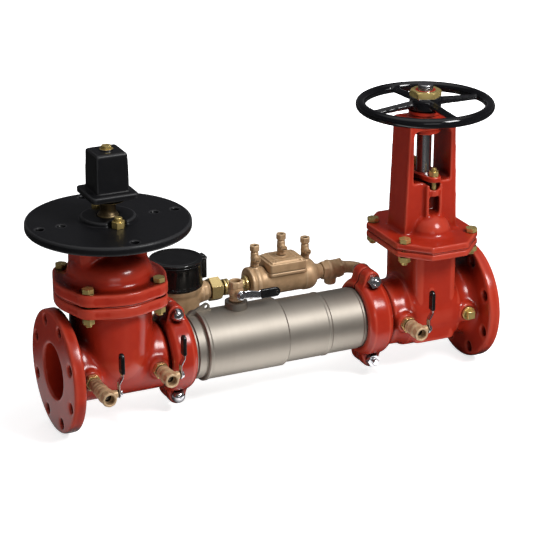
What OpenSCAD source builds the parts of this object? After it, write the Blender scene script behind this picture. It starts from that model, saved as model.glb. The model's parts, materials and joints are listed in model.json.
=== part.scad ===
/* [Line] */
// Outside diameter of the two end flanges
flange_od = 228.6; // [222:0.2:234]
// Thickness of the end flanges
flange_t = 23.8; // [20:0.2:27]
// Circle of the flange bolt holes
bolt_circle = 190.5; // [188:0.5:194]
// Diameter of each flange bolt hole
bolt_hole_d = 19.05; // [16:0.05:22]
// Bolt holes in each end flange
bolt_count = 8; // [4:4:8]
// Diameter of the waterway
bore_d = 101.6; // [96:0.2:104]
// Outside diameter of the grooved pipe ends
pipe_od = 114.3; // [113:0.1:116]
// Flange face to grooved end of each gate valve
valve_len = 228.6; // [226:0.2:240]
// Offset of the stem axis from the middle of each gate valve, towards the flange
axis_offset = 1; // [0:0.1:3]
// Gap between grooved ends inside a coupling
joint_gap = 3.2; // [2:0.1:4]
// Length of the check housing
housing_len = 396.4; // [390:0.2:420]

/* [Gate valves] */
// Outside diameter of the cast necks beside the gate chamber
neck_od = 126; // [122:1:130]
// Outside radius of the inlet gate's round chamber
chamber_r = 75; // [74:0.5:77]
// Height of the middle of the inlet chamber's ball-shaped bottom
chamber_ball_z = 26; // [22:0.5:30]
// Radius of the gate disc
gate_r = 57; // [55:0.5:58]
// Half thickness of the gate at the waterway centre
gate_half = 21; // [19:0.5:23]
// Slope of the seat faces in degrees
seat_slope = 4; // [3:0.5:5]
// Gap between the gate and its seats
gate_gap = 0.3; // [0.2:0.1:0.6]
// Diameter of the smooth side bosses
boss_d = 44; // [38:1:48]
// Distance of the side bosses from the stem axis
boss_offset = 65; // [63:0.5:67]
// Distance of the boss faces from the line's axis
boss_face = 72; // [70:0.5:76]
// Port tapped through each boss
port_d = 20; // [18:0.5:21]

/* [Inlet bonnet] */
// Underside of the inlet body's bonnet flange
inlet_seat_low = 121; // [118:1:124]
// Top of the inlet body's bonnet flange
inlet_seat_z = 143; // [140:1:146]
// Radius of the inlet bonnet flange
inlet_bonnet_r = 102; // [99:0.5:105]
// Thickness of the inlet bonnet flange
inlet_bonnet_t = 24; // [20:1:26]
// Offset of the inlet bonnet bolts from the stem axis
inlet_bolt_xy = 67; // [65:0.5:69]
// Thickness of each bonnet gasket
gasket_t = 1.6; // [1:0.2:2]
// Width of the pedestal under the indicator plate
pedestal_w = 127; // [120:1:132]
// Depth of the pedestal under the indicator plate
pedestal_d = 108; // [100:1:116]

/* [Indicator plate and operator] */
// Underside of the indicator plate
plate_z = 257; // [252:1:260]
// Radius of the indicator plate
plate_r = 148.7; // [146:0.1:150]
// Thickness of the indicator plate
plate_t = 17; // [14:0.5:19]
// Circle of the four outer plate holes
plate_circle = 256; // [250:1:260]
// Diameter of the outer plate holes
plate_hole_d = 15; // [12:0.5:17]
// Distance of the two plate studs from the stem axis
plate_stud_y = 50; // [49:0.5:52]
// Width of the square operating nut
operator_w = 59; // [54:0.5:62]
// Height of the operating nut's square
operator_h = 73; // [66:1:78]
// Width of the skirt under the operating nut
skirt_w = 88; // [84:1:92]
// Underside of the operating nut's skirt
skirt_z = 314; // [310:1:320]
// Diameter of the turning inlet stem
inlet_stem_d = 25.4; // [22:0.2:27]

/* [Outlet yoke] */
// Underside of the outlet body's bonnet flange
outlet_seat_low = 134; // [132:1:137]
// Top of the outlet body's bonnet flange
outlet_seat_z = 147; // [145:1:149]
// Half width of the eight-sided bonnet flange
oct_half_w = 87; // [85:0.5:90]
// Half depth of the eight-sided bonnet flange
oct_half_d = 113; // [112:0.5:118]
// Half width of the eight-sided flange's front edge
oct_front = 38; // [34:1:42]
// Half depth at the eight-sided flange's side corners
oct_side = 62; // [59:1:65]
// Thickness of the yoke flange
yoke_flange_t = 13.4; // [12:0.2:15]
// Bonnet bolt distance from the stem axis along the line
outlet_bolt_x = 71; // [70:0.5:72]
// Bonnet bolt distance from the stem axis across the line
outlet_bolt_y = 64; // [62:0.5:66]
// Half width of the yoke at its foot
yoke_foot = 56; // [54:0.5:58]
// Half width of the yoke at its head
yoke_head = 48.5; // [46:0.5:50]
// Depth of the yoke
yoke_d = 70; // [68:1:74]
// Depth of the yoke's head above its window
head_t = 37; // [34:1:40]
// Half width of the yoke's window
window_half = 38.5; // [36:0.5:39]
// Sill of the yoke's window
sill_z = 262; // [258:1:264]
// Head of the yoke's window
window_top = 351; // [346:1:354]
// Distance of the gland studs from the stem axis
gland_stud_y = 40; // [39:0.5:41]
// Diameter of the rising stem
stem_d = 28.5; // [26:0.5:30]
// Rise of the stem above the yoke with the valve shut
stem_rise = 55; // [50:1:60]
// Pitch circle radius of the handwheel rim
wheel_r = 120.2; // [112:0.2:124]
// Thickness of the round handwheel rim
rim_d = 20; // [17:0.5:21]
// Height of the handwheel rim's centre above the yoke
wheel_rise = 15; // [13:0.5:17]
// Turn of the handwheel's spokes from the line
spoke_turn = 3; // [0:1:10]

/* [Couplings] */
// Width of each coupling along the line
coupling_w = 52; // [51:0.5:56]
// Outside radius of the coupling ring
coupling_r = 75; // [73:0.5:78]
// Height of the coupling bolts above and below the axis
coupling_bolt_z = 80.5; // [79:0.5:82]
// Radius of the round nose of each coupling ear
ear_r = 17; // [16:0.5:18]
// Distance of the bolt heads and nuts from the parting plane
ear_depth = 27; // [25:0.5:29]
// Diameter of the coupling bolts
coupling_bolt_d = 12.7; // [11:0.1:14]

/* [Check housing] */
// Radius of the housing tube
tube_r = 60; // [59:0.5:61]
// Thickness of the outer sleeve
sleeve_t = 4.4; // [3:0.1:7]
// Sleeve start, from the inlet end of the housing
sleeve_start = 48; // [46:1:52]
// Length of the sleeve
sleeve_len = 163; // [150:1:175]
// Wall of the tube
tube_wall = 3.2; // [2.5:0.1:3.4]
// Bore of each check seat
seat_bore_d = 74; // [66:1:78]
// Radius of each check clapper
clapper_r = 42; // [40:0.5:43]

/* [Test cocks] */
// Outside diameter of a test cock's barrel
cock_d = 26; // [24:0.5:28]
// Length of a test cock
cock_len = 49; // [46:1:54]
// Lever length of a test cock
lever_len = 75; // [66:1:80]
// Length of the extension piece under the first test cock
extension_len = 30; // [24:1:34]

/* [Bypass] */
// Distance of the bypass line behind the main line
bypass_y = 150; // [148:1:156]
// Height of the bypass line
bypass_z = 41; // [41:1:46]
// Length of bypass pipe ahead of the meter
meter_lead = 29.7; // [28:0.1:32]
// Radius of the meter's register
register_r = 50; // [46:0.5:52]
// Outside diameter of the bypass pipe
bypass_pipe_d = 26; // [22:0.5:28]
// Share of the free bypass length that the unions take
union_share = 0.65; // [0.6:0.01:0.7]

/* [Hidden] */

$fn = 48;
lay_len = 2 * valve_len + 2 * joint_gap + housing_len;
valve_axis = valve_len / 2 - axis_offset;
inlet_x = valve_axis;
outlet_x = lay_len - valve_axis;
housing_x = valve_len + joint_gap;
bore_r = bore_d / 2;
pipe_r = pipe_od / 2;
groove_r = pipe_r - 2.1;
groove_from = 15.9;
groove_w = 8.7;
edge = 1.5;
run = 0.05;

cast_red = [0.64, 0.17, 0.12];
black = [0.07, 0.07, 0.08];
brass = [0.72, 0.56, 0.24];
bronze = [0.66, 0.53, 0.38];
steel = [0.62, 0.59, 0.54];
zinc = [0.75, 0.75, 0.76];
dark_steel = [0.3, 0.3, 0.31];
rubber = [0.12, 0.12, 0.12];

// Points of an arc, for outlines with round corners
function arc(x, y, r, from, to, n) =
    [for (i = [0 : n]) let (a = from + (to - from) * i / n) [x + r * cos(a), y + r * sin(a)]];

// Runs a shape drawn along +Z along the pipe line instead
module along_line() rotate([0, 90, 0]) children();

// Runs a shape drawn along +Z towards the front
module to_front() rotate([90, 0, 0]) children();

// Cylinder with both rims chamfered
module turned(r, h, c) rotate_extrude()
    polygon([[0, 0], [r - c, 0], [r, c], [r, h - c], [r - c, h], [0, h]]);

// Hexagon with the corners of its top face turned off
module hex(af, h) intersection() {
    cylinder(d = af / cos(30), h = h, $fn = 6);
    cylinder(r1 = af / 2 + h * 1.6 + 0.6, r2 = af / 2 + 0.6, h = h);
}

// Block centred on Z with round upright corners
module round_block(w, d, h, r) {
    translate([-w / 2, -d / 2 + r, 0]) cube([w, d - 2 * r, h]);
    translate([-w / 2 + r, -d / 2, 0]) cube([w - 2 * r, d, h]);
    for (x = [-1, 1])
        for (y = [-1, 1])
            translate([x * (w / 2 - r), y * (d / 2 - r), 0]) cylinder(r = r, h = h);
}

// Round plate whose rim runs out to lobes round the given points
web_inset = 0.4;
module lobed_plate(r, lobe, points, h) {
    cylinder(r = r, h = h, $fn = 96);
    for (p = points) {
        a = atan2(p[1], p[0]);
        t = acos((r - lobe) / norm(p));
        translate([p[0], p[1], 0]) cylinder(r = lobe, h = h);
        linear_extrude(h) polygon([
            [0, 0],
            (r - web_inset) * [cos(a - t), sin(a - t)],
            p + (lobe - web_inset) * [cos(a - t), sin(a - t)],
            p + (lobe - web_inset) * [cos(a + t), sin(a + t)],
            (r - web_inset) * [cos(a + t), sin(a + t)]
        ]);
    }
}

// Quarter bend of a round bar: enters at the origin along +X, leaves along +Y
module bend(turn, r) translate([0, turn, 0]) rotate([0, 0, -90])
    rotate_extrude(angle = 90) translate([turn, 0]) circle(r);

function corners(x, y) = [[x, y], [-x, y], [-x, -y], [x, -y]];
inlet_bolts = corners(inlet_bolt_xy, inlet_bolt_xy + 1);

// Round flange of the inlet valve, with soft lobes round its bolts and stepped rims
lobe_r = 32;
lobe_wall = 15;
rim_step = 2;
module bonnet_plate(h) {
    lobes = [for (p = inlet_bolts) p * (1 - (lobe_r - lobe_wall) / norm(p))];
    lobed_plate(inlet_bonnet_r - rim_step, lobe_r - rim_step, lobes, h);
    translate([0, 0, rim_step]) lobed_plate(inlet_bonnet_r, lobe_r, lobes, h - 2 * rim_step);
}
outlet_bolts = corners(outlet_bolt_x, outlet_bolt_y);
bonnet_bolt_d = 12.7;

// Half thickness of the gate at a height above the waterway
function gate_at(z) = gate_half + z * tan(seat_slope);

// Space that the gate slides in: tapered seats, a round bottom and two side guides
gate_space_r = gate_r + 1;
guide_w = 14;
guide_reach = 61.5;
slot_gap = 0.2;
module gate_space(top) intersection() {
    to_front() translate([0, 0, -70]) linear_extrude(140) polygon([
        [-gate_at(-gate_space_r) - gate_gap, -gate_space_r],
        [gate_at(-gate_space_r) + gate_gap, -gate_space_r],
        [gate_at(top) + gate_gap, top],
        [-gate_at(top) - gate_gap, top]
    ]);
    union() {
        along_line() translate([0, 0, -50]) cylinder(r = gate_space_r, h = 100, $fn = 96);
        translate([-50, -gate_space_r, 0]) cube([100, 2 * gate_space_r, top]);
        translate([-guide_w / 2, -guide_reach, -12]) cube([guide_w, 2 * guide_reach, top + 12]);
    }
}

nut_block_r = 24;
nut_block_top = 84;
nut_slot_w = 30;
nut_slot_low = 56;
nut_slot_h = 18;
module gate_wedge() difference() {
    intersection() {
        to_front() translate([0, 0, -70]) linear_extrude(140) polygon([
            [-gate_at(-gate_r), -gate_r],
            [gate_at(-gate_r), -gate_r],
            [gate_at(nut_block_top), nut_block_top],
            [-gate_at(nut_block_top), nut_block_top]
        ]);
        union() {
            along_line() translate([0, 0, -40]) cylinder(r = gate_r, h = 80, $fn = 96);
            translate([-guide_w / 2 + 0.5, -guide_reach + 0.6, -10])
                cube([guide_w - 1, 2 * guide_reach - 1.2, 34]);
            cylinder(r = nut_block_r, h = nut_block_top);
        }
    }
    translate([-40, -nut_slot_w / 2, nut_slot_low]) cube([80, nut_slot_w, nut_slot_h]);
    translate([0, 0, nut_slot_low]) cylinder(d = stem_d + 1.5, h = 40);
}

// Block that fills the gate's cross slot: the stem nut of one gate, the stem's foot in the other
module slot_block() translate([0, 0, nut_slot_low + slot_gap]) intersection() {
    cylinder(r = nut_block_r - 1, h = nut_slot_h - 2 * slot_gap);
    translate([-40, -nut_slot_w / 2 + slot_gap, 0])
        cube([80, nut_slot_w - 2 * slot_gap, nut_slot_h]);
}

// Flanged and grooved casting shared by both gate valves, drawn with its flange face at x = 0
module valve_shell() {
    along_line() turned(flange_od / 2, flange_t, edge);
    along_line() cylinder(d = neck_od, h = valve_len - 30, $fn = 96);
    along_line() cylinder(r = pipe_r, h = valve_len, $fn = 96);
    along_line() translate([0, 0, flange_t - 1])
        cylinder(d1 = neck_od + 22, d2 = neck_od, h = 13, $fn = 96);
    for (x = [-1, 1])
        for (y = [-1, 1])
            translate([valve_axis + x * boss_offset, y * boss_face, 0])
                rotate([90 * y, 0, 0]) cylinder(d1 = boss_d - 8, d2 = boss_d + 10, h = 34);
}

module valve_cuts(top) {
    along_line() translate([0, 0, -1]) cylinder(r = bore_r, h = valve_len + 2, $fn = 96);
    along_line() translate([0, 0, valve_len - groove_from - groove_w]) difference() {
        cylinder(r = pipe_r + 1, h = groove_w, $fn = 96);
        translate([0, 0, -1]) cylinder(r = groove_r, h = groove_w + 2, $fn = 96);
    }
    for (k = [0 : bolt_count - 1])
        rotate([180 / bolt_count + k * 360 / bolt_count, 0, 0])
            translate([-1, 0, bolt_circle / 2]) along_line()
                cylinder(d = bolt_hole_d, h = flange_t + 2);
    translate([valve_axis, 0, 0]) gate_space(top);
}

// Ports through the bosses: front and rear, upstream and downstream of the gate
module port(side, y) translate([valve_axis + side * boss_offset, 0, 0])
    rotate([-90 * y, 0, 0]) cylinder(d = port_d, h = boss_face + 1);

module inlet_body() color(cast_red) difference() {
    union() {
        valve_shell();
        translate([inlet_x, 0, 0]) {
            translate([0, 0, chamber_ball_z]) {
                cylinder(r = chamber_r, h = inlet_seat_low + 1 - chamber_ball_z, $fn = 96);
                sphere(r = chamber_r, $fn = 96);
            }
            translate([0, 0, inlet_seat_low - 8]) cylinder(r1 = chamber_r - 1, r2 = 82, h = 9, $fn = 96);
            translate([0, 0, inlet_seat_low]) bonnet_plate(inlet_seat_z - inlet_seat_low);
        }
    }
    valve_cuts(inlet_seat_z + 1);
    translate([inlet_x, 0, 0])
        for (p = inlet_bolts)
            translate([p[0], p[1], inlet_seat_low - 1]) cylinder(d = bonnet_bolt_d + 1.6, h = 30);
    for (side = [-1, 1]) port(side, -1);
    port(1, 1);
}

bonnet_low = inlet_seat_z + gasket_t;
bonnet_top = bonnet_low + inlet_bonnet_t;
collar_z = 196;
module inlet_bonnet() color(cast_red) translate([inlet_x, 0, 0]) difference() {
    union() {
        translate([0, 0, bonnet_low]) bonnet_plate(inlet_bonnet_t);
        translate([0, 0, bonnet_top - 1]) cylinder(r1 = 83, r2 = 80, h = 5, $fn = 96);
        rotate_extrude($fn = 96) polygon(concat(
            [[0, bonnet_top - 2], [78, bonnet_top - 2]],
            arc(30, bonnet_top + 2, 48, 0, 80, 14),
            [[0, bonnet_top + 49]]
        ));
        translate([0, -14, bonnet_top + 2]) intersection() {
            sphere(r = 58);
            translate([-60, -60, 0]) cube([120, 120, 60]);
        }
        translate([0, 8, bonnet_top + 10])
            round_block(pedestal_w, pedestal_d - 16, plate_z - bonnet_top - 10, 16);
    }
    translate([0, 0, bonnet_low - 1]) cylinder(r = 60, h = 22, $fn = 96);
    translate([0, 0, bonnet_low + 20]) cylinder(r1 = 60, r2 = 32, h = collar_z - bonnet_low - 20.5);
    translate([0, 0, collar_z - 1]) cylinder(r = 20, h = 10);
    translate([0, 0, collar_z]) cylinder(d = inlet_stem_d + 2 * run, h = 80);
    translate([0, 0, plate_z - 30]) cylinder(r = 20, h = 31);
    for (p = inlet_bolts)
        translate([p[0], p[1], bonnet_low - 1]) cylinder(d = bonnet_bolt_d + 1.6, h = 40);
    for (y = [-1, 1])
        translate([0, y * plate_stud_y, plate_z - 20]) cylinder(d = plate_stud_d, h = 21);
}

module inlet_wedge() color(rubber) translate([inlet_x, 0, 0]) difference() {
    gate_wedge();
    translate([0, 0, -gate_r + 5]) cylinder(d = inlet_stem_d + 3, h = gate_r + nut_block_top);
}

module inlet_stem_nut() color(bronze) translate([inlet_x, 0, 0]) difference() {
    slot_block();
    cylinder(d = inlet_stem_d + 2 * run, h = 120);
}

inlet_stem_low = 54;
module inlet_stem() color(bronze) translate([inlet_x, 0, 0]) {
    translate([0, 0, inlet_stem_low]) cylinder(d = inlet_stem_d, h = skirt_z + 50 - inlet_stem_low);
    translate([0, 0, collar_z + 0.5]) cylinder(r = 19.5, h = 8);
}

stuffing_top = skirt_z - 1;
module stuffing_nut() color(brass) translate([inlet_x, 0, 0]) difference() {
    union() {
        translate([0, 0, plate_z - 28]) cylinder(r = 19.7, h = plate_t + lip_h + 29);
        translate([0, 0, plate_z + plate_t + lip_h + 0.3]) turned(17, 4, 1);
        translate([0, 0, plate_z + plate_t]) cylinder(r = 14.5, h = stuffing_top - plate_z - plate_t);
        translate([0, 0, stuffing_top - 3]) cylinder(r = 33, h = 3);
    }
    translate([0, 0, plate_z - 40]) cylinder(d = inlet_stem_d + 2 * run, h = 120);
}

plate_stud_d = 14;
lip_h = 9;
module indicator_plate() color(black) translate([inlet_x, 0, plate_z]) difference() {
    union() {
        turned(plate_r, plate_t, 2);
        translate([0, 0, plate_t - 2]) turned(50, lip_h + 2, 2);
    }
    for (x = [-1, 1]) translate([x * 88, 0, plate_t - 6]) cylinder(d = plate_hole_d, h = 40);
    translate([0, 0, -1]) cylinder(r = 20, h = 40);
    for (k = [0 : 3])
        rotate([0, 0, 90 * k]) translate([plate_circle / 2, 0, -1]) cylinder(d = plate_hole_d, h = 40);
    for (y = [-1, 1]) translate([0, y * plate_stud_y, 0]) {
        translate([0, 0, -1]) cylinder(d = plate_stud_d + 1, h = 40);
        translate([0, 0, plate_t]) cylinder(r = 18, h = 20);
    }
}

// Stud with a nut, drawn from the face that the nut sits on
module stud_and_nut(d, af, nut_h, below, above) {
    translate([0, 0, -below]) turned(d / 2, below + above, 0.8);
    hex(af, nut_h);
}

module plate_studs() color(brass) translate([inlet_x, 0, plate_z + plate_t + 0.05])
    for (y = [-1, 1])
        translate([0, y * plate_stud_y, 0]) stud_and_nut(plate_stud_d - 0.4, 21, 12, 34, 19);

module operator_nut() color(black) translate([inlet_x, 0, skirt_z]) difference() {
    union() {
        translate([0, 0, 4]) round_block(skirt_w, skirt_w, 12, 8);
        cylinder(r1 = skirt_w / 2 - 12, r2 = skirt_w / 2 - 2, h = 5);
        translate([0, 0, 15]) intersection() {
            rotate([90, 0, 0]) translate([0, 0, -40]) linear_extrude(80) polygon([
                [-operator_w / 2 - 1.5, 0], [operator_w / 2 + 1.5, 0],
                [operator_w / 2, operator_h - 3], [operator_w / 2 - 3, operator_h],
                [-operator_w / 2 + 3, operator_h], [-operator_w / 2, operator_h - 3]
            ]);
            rotate([90, 0, 90]) translate([0, 0, -40]) linear_extrude(80) polygon([
                [-operator_w / 2 - 1.5, 0], [operator_w / 2 + 1.5, 0],
                [operator_w / 2, operator_h - 3], [operator_w / 2 - 3, operator_h],
                [-operator_w / 2 + 3, operator_h], [-operator_w / 2, operator_h - 3]
            ]);
            round_block(operator_w + 3, operator_w + 3, operator_h, 3);
        }
    }
    translate([0, 0, -1]) cylinder(d = inlet_stem_d + 2 * run, h = 51 + run);
    translate([0, 0, 40]) cylinder(d = 13, h = 60);
}

module operator_bolt() color(brass) translate([inlet_x, 0, skirt_z + 15 + operator_h + 0.05]) {
    cylinder(r = 12, h = 2.5);
    translate([0, 0, 2.4]) hex(17, 6);
    translate([0, 0, -31]) cylinder(d = 12.7, h = 34);
}

module outlet_shell() {
    valve_shell();
    translate([valve_axis, 0, 0]) {
        translate([0, 0, -50]) round_block(89, 130, outlet_seat_low + 50, 13);
        along_line() translate([0, 0, -58]) turned(69, 116, 7);
        translate([12, -60, 57]) to_front() turned(6, 8, 1.5);
        translate([0, 0, outlet_seat_low]) octagon_plate(outlet_seat_z - outlet_seat_low, 0);
    }
}

module octagon_plate(h, inset) linear_extrude(h) polygon([
    for (s = [[1, 1], [-1, 1], [-1, -1], [1, -1]])
        for (v = s[0] * s[1] > 0 ? [0, 1] : [1, 0])
            v == 0
                ? [s[0] * (oct_half_w - inset), s[1] * (oct_side - inset / 2)]
                : [s[0] * (oct_front - inset / 2), s[1] * (oct_half_d - inset)]
]);

module outlet_body() color(cast_red) difference() {
    translate([lay_len, 0, 0]) mirror([1, 0, 0]) difference() {
        outlet_shell();
        valve_cuts(outlet_seat_z + 1);
        port(1, -1);
        port(-1, -1);
        port(1, 1);
    }
    translate([outlet_x, 0, 0])
        for (p = outlet_bolts)
            translate([p[0], p[1], outlet_seat_low - 1]) cylinder(d = bonnet_bolt_d + 1.6, h = 30);
}

yoke_low = outlet_seat_z + gasket_t;
yoke_flange_top = yoke_low + yoke_flange_t;
packing_low = sill_z - 38;
packing_r = 23;
bushing_r = 24;
head_boss_r = 30;
yoke_top = window_top + head_t;
head_z = yoke_top - 7;
wheel_z = yoke_top + wheel_rise;
stem_top = yoke_top + stem_rise;
dome_r = 39;
rib_x = 13.5;
rib_y = 47;
module outlet_yoke() color(cast_red) translate([outlet_x, 0, 0]) difference() {
    union() {
        translate([0, 0, yoke_low]) octagon_plate(yoke_flange_t, 0);
        to_front() translate([0, 0, -yoke_d / 2]) linear_extrude(yoke_d) polygon([
            [-yoke_foot, yoke_flange_top - 1], [yoke_foot, yoke_flange_top - 1],
            [yoke_head, head_z - 3], [yoke_head - 3, head_z],
            [-yoke_head + 3, head_z], [-yoke_head, head_z - 3]
        ]);
        translate([0, 0, head_z - 2]) cylinder(r = head_boss_r, h = yoke_top - head_z + 2);
        intersection() {
            for (y = [-1, 1]) translate([0, y * (yoke_d / 2 - 1), yoke_flange_top]) {
                sphere(r = dome_r, $fn = 72);
                translate([0, 0, -1]) cylinder(r1 = dome_r + 7, r2 = dome_r + 1, h = 5, $fn = 72);
            }
            translate([-60, -100, yoke_flange_top - 1]) cube([120, 200, 60]);
        }
        for (y = [-1, 1]) {
            translate([0, y * gland_stud_y, sill_z - 26]) cylinder(r = 11, h = 14);
            for (x = [-1, 1]) translate([x * rib_x - 3.5, y > 0 ? 0 : -rib_y, yoke_flange_top])
                cube([7, rib_y, sill_z - 2 - yoke_flange_top]);
        }
    }
    // window, with the round boss of the stem bushing hanging into its head
    difference() {
        to_front() translate([0, 0, -60]) linear_extrude(120) polygon(concat(
            [[-window_half, sill_z], [window_half, sill_z]],
            arc(window_half - 8, window_top + 3, 8, 0, 90, 4),
            arc(-window_half + 8, window_top + 3, 8, 90, 180, 4)
        ));
        translate([0, 0, window_top]) cylinder(r = head_boss_r, h = 40);
    }
    // niches under the gland studs, with room for the follower above them
    for (y = [-1, 1]) translate([0, y * (yoke_d / 2 + 4), 0]) {
        translate([-rib_x + 3, -12, sill_z - 58]) cube([2 * rib_x - 6, 24, 32]);
        translate([-rib_x + 3, -12, sill_z - 12]) cube([2 * rib_x - 6, 24, 13]);
        translate([0, y * (gland_stud_y - yoke_d / 2 - 4), sill_z - 40]) cylinder(d = 10.4, h = 40);
    }
    translate([0, 0, yoke_low - 1]) cylinder(r = 52, h = 9, $fn = 96);
    translate([0, 0, yoke_low + 7.9]) cylinder(r1 = 52, r2 = 29, h = 12);
    translate([0, 0, yoke_low]) cylinder(r = 28, h = 44);
    cylinder(d = stem_d + 2 * run, h = sill_z - 2);
    translate([0, 0, packing_low]) cylinder(r = packing_r, h = sill_z + 22 - packing_low);
    translate([0, 0, window_top - 10]) cylinder(r = bushing_r + run, h = head_t + 20);
    for (p = outlet_bolts) translate([p[0], p[1], 0]) {
        translate([0, 0, yoke_low - 1]) cylinder(d = bonnet_bolt_d + 1.6, h = 30);
        translate([0, 0, yoke_flange_top]) cylinder(r = 13, h = 20);
    }
}

module outlet_wedge() color(rubber) translate([outlet_x, 0, 0]) gate_wedge();

module rising_stem() color(dark_steel) translate([outlet_x, 0, 0]) {
    translate([0, 0, nut_slot_low + 1]) turned(stem_d / 2, stem_top - nut_slot_low - 1, 1.5);
    slot_block();
}

follower_low = sill_z + 3;
follower_t = 10.5;
module gland_follower() color(cast_red) translate([outlet_x, 0, 0]) difference() {
    union() {
        translate([0, 0, follower_low])
            lobed_plate(26, 14, [[0, gland_stud_y], [0, -gland_stud_y]], follower_t);
        translate([0, 0, follower_low - 16]) cylinder(r = packing_r - 0.2, h = 17);
    }
    translate([0, 0, follower_low - 20]) cylinder(d = stem_d + 2 * run, h = 40);
    for (y = [-1, 1])
        translate([0, y * gland_stud_y, follower_low - 1]) cylinder(d = 11, h = 20);
}

module gland_studs() color(brass) translate([outlet_x, 0, follower_low + follower_t + 0.05])
    for (y = [-1, 1])
        translate([0, y * gland_stud_y, 0]) stud_and_nut(10, 17, 9, follower_t + 29, 15);

module gland_packing() color(rubber) translate([outlet_x, 0, packing_low + 0.1]) difference() {
    cylinder(r = packing_r - 0.2, h = follower_low - 16 - packing_low - 0.2);
    translate([0, 0, -1]) cylinder(d = stem_d + 2 * run, h = 60);
}

hub_top = wheel_z + 15;
module yoke_bushing() color(bronze) translate([outlet_x, 0, 0]) difference() {
    union() {
        translate([0, 0, window_top + 2]) cylinder(r = bushing_r, h = yoke_top - window_top);
        translate([0, 0, yoke_top + 0.3]) cylinder(r = 31, h = 5.7);
        translate([0, 0, yoke_top + 0.3]) cylinder(r = 19, h = hub_top + 14 - yoke_top - 0.3);
    }
    translate([0, 0, window_top]) cylinder(d = stem_d + 2 * run, h = 2 * head_t + 40);
}

spoke_w = 17.5;
module handwheel() color(black) translate([outlet_x, 0, 0]) difference() {
    union() {
        translate([0, 0, wheel_z]) rotate_extrude($fn = 120)
            translate([wheel_r, 0]) circle(d = rim_d);
        translate([0, 0, yoke_top + 6.1]) turned(30, hub_top - yoke_top - 6.1, 2);
        for (k = [0 : 3]) rotate([0, 0, spoke_turn + 90 * k]) {
            to_front() translate([0, 0, -spoke_w / 2]) linear_extrude(spoke_w) polygon([
                [20, wheel_z + 1], [wheel_r, wheel_z - 5],
                [wheel_r, wheel_z + 1], [20, wheel_z + 8]
            ]);
            to_front() translate([0, 0, -3]) linear_extrude(6) polygon([
                [20, wheel_z - 5], [wheel_r, wheel_z - 7],
                [wheel_r, wheel_z + 4], [20, wheel_z + 13]
            ]);
        }
    }
    translate([0, 0, yoke_top]) cylinder(r = 19 + run, h = 60);
}

module handwheel_nut() color(brass) translate([outlet_x, 0, hub_top + 0.05]) difference() {
    union() {
        cylinder(r = 27, h = 2);
        rotate([0, 0, -25]) translate([0, 0, 1.9]) hex(52, 12);
    }
    translate([0, 0, -1]) cylinder(r = 19 + run, h = 60);
}

module body_plug() color(brass) translate([outlet_x + boss_offset, -boss_face - 0.05, 0]) to_front() {
    translate([0, 0, -16]) cylinder(d = port_d - 0.4, h = 17);
    turned(13, 6, 1.5);
    rotate([0, 0, 45]) translate([-9, -9, 5]) cube([18, 18, 15]);
}

module bonnet_gaskets() color(rubber) {
    translate([inlet_x, 0, inlet_seat_z]) difference() {
        cylinder(r = inlet_bonnet_r - 2.5, h = gasket_t, $fn = 96);
        translate([0, 0, -1]) cylinder(r = 63, h = 10, $fn = 96);
        for (p = inlet_bolts) translate([p[0], p[1], -1]) cylinder(d = bonnet_bolt_d + 4, h = 10);
    }
    translate([outlet_x, 0, outlet_seat_z]) difference() {
        octagon_plate(gasket_t, 2.5);
        translate([0, 0, -1]) cylinder(r = 63, h = 10, $fn = 96);
        for (p = outlet_bolts) translate([p[0], p[1], -1]) cylinder(d = bonnet_bolt_d + 1.6, h = 10);
    }
}

// Bonnet bolt through both flanges: head above, nut and stud end below
module bonnet_bolt(low, high) {
    translate([0, 0, low - 16]) turned(bonnet_bolt_d / 2, high - low + 17, 0.8);
    translate([0, 0, high + 0.05]) rotate([0, 0, 15]) hex(20, 8);
    translate([0, 0, low - 0.05]) rotate([180, 0, 20]) hex(20, 10);
}

module bonnet_bolts() color(brass) {
    for (p = inlet_bolts) translate([inlet_x + p[0], p[1], 0]) bonnet_bolt(inlet_seat_low, bonnet_top);
    for (p = outlet_bolts)
        translate([outlet_x + p[0], p[1], 0]) bonnet_bolt(outlet_seat_low, yoke_flange_top);
}

// Whole coupling ring, centred on its joint; the halves are cut from it
key_from = joint_gap / 2 + groove_from + 0.5;
gasket_r = 66;
module coupling_ring() {
    half = coupling_w / 2;
    difference() {
        union() {
            along_line() translate([0, 0, -half]) rotate_extrude($fn = 96) polygon([
                [0, 0], [coupling_r - 9, 0], [coupling_r - 6, 2], [coupling_r, 11],
                [coupling_r, coupling_w - 11], [coupling_r - 6, coupling_w - 2],
                [coupling_r - 9, coupling_w], [0, coupling_w]
            ]);
            for (s = [-1, 1]) {
                to_front() translate([0, 0, -ear_depth]) linear_extrude(2 * ear_depth) polygon([
                    [-half + 2, s * (coupling_bolt_z - 21)], [half - 2, s * (coupling_bolt_z - 21)],
                    [ear_r - 0.6, s * coupling_bolt_z], [0.6 - ear_r, s * coupling_bolt_z]
                ]);
                translate([0, ear_depth, s * coupling_bolt_z]) to_front() turned(ear_r, 2 * ear_depth, 1.5);
            }
        }
        along_line() translate([0, 0, -half - 1]) cylinder(r = groove_r + 0.25, h = coupling_w + 2, $fn = 96);
        along_line() translate([0, 0, -key_from]) cylinder(r = gasket_r, h = 2 * key_from, $fn = 96);
        for (z = [-1, 1]) translate([0, 0, z * coupling_bolt_z]) {
            to_front() translate([0, 0, -60]) cylinder(d = coupling_bolt_d + 1.4, h = 120);
            for (s = [-1, 1]) rotate([90 * s, 0, 0]) translate([0, 0, ear_depth]) cylinder(r = 15.5, h = 20);
        }
    }
}

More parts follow.
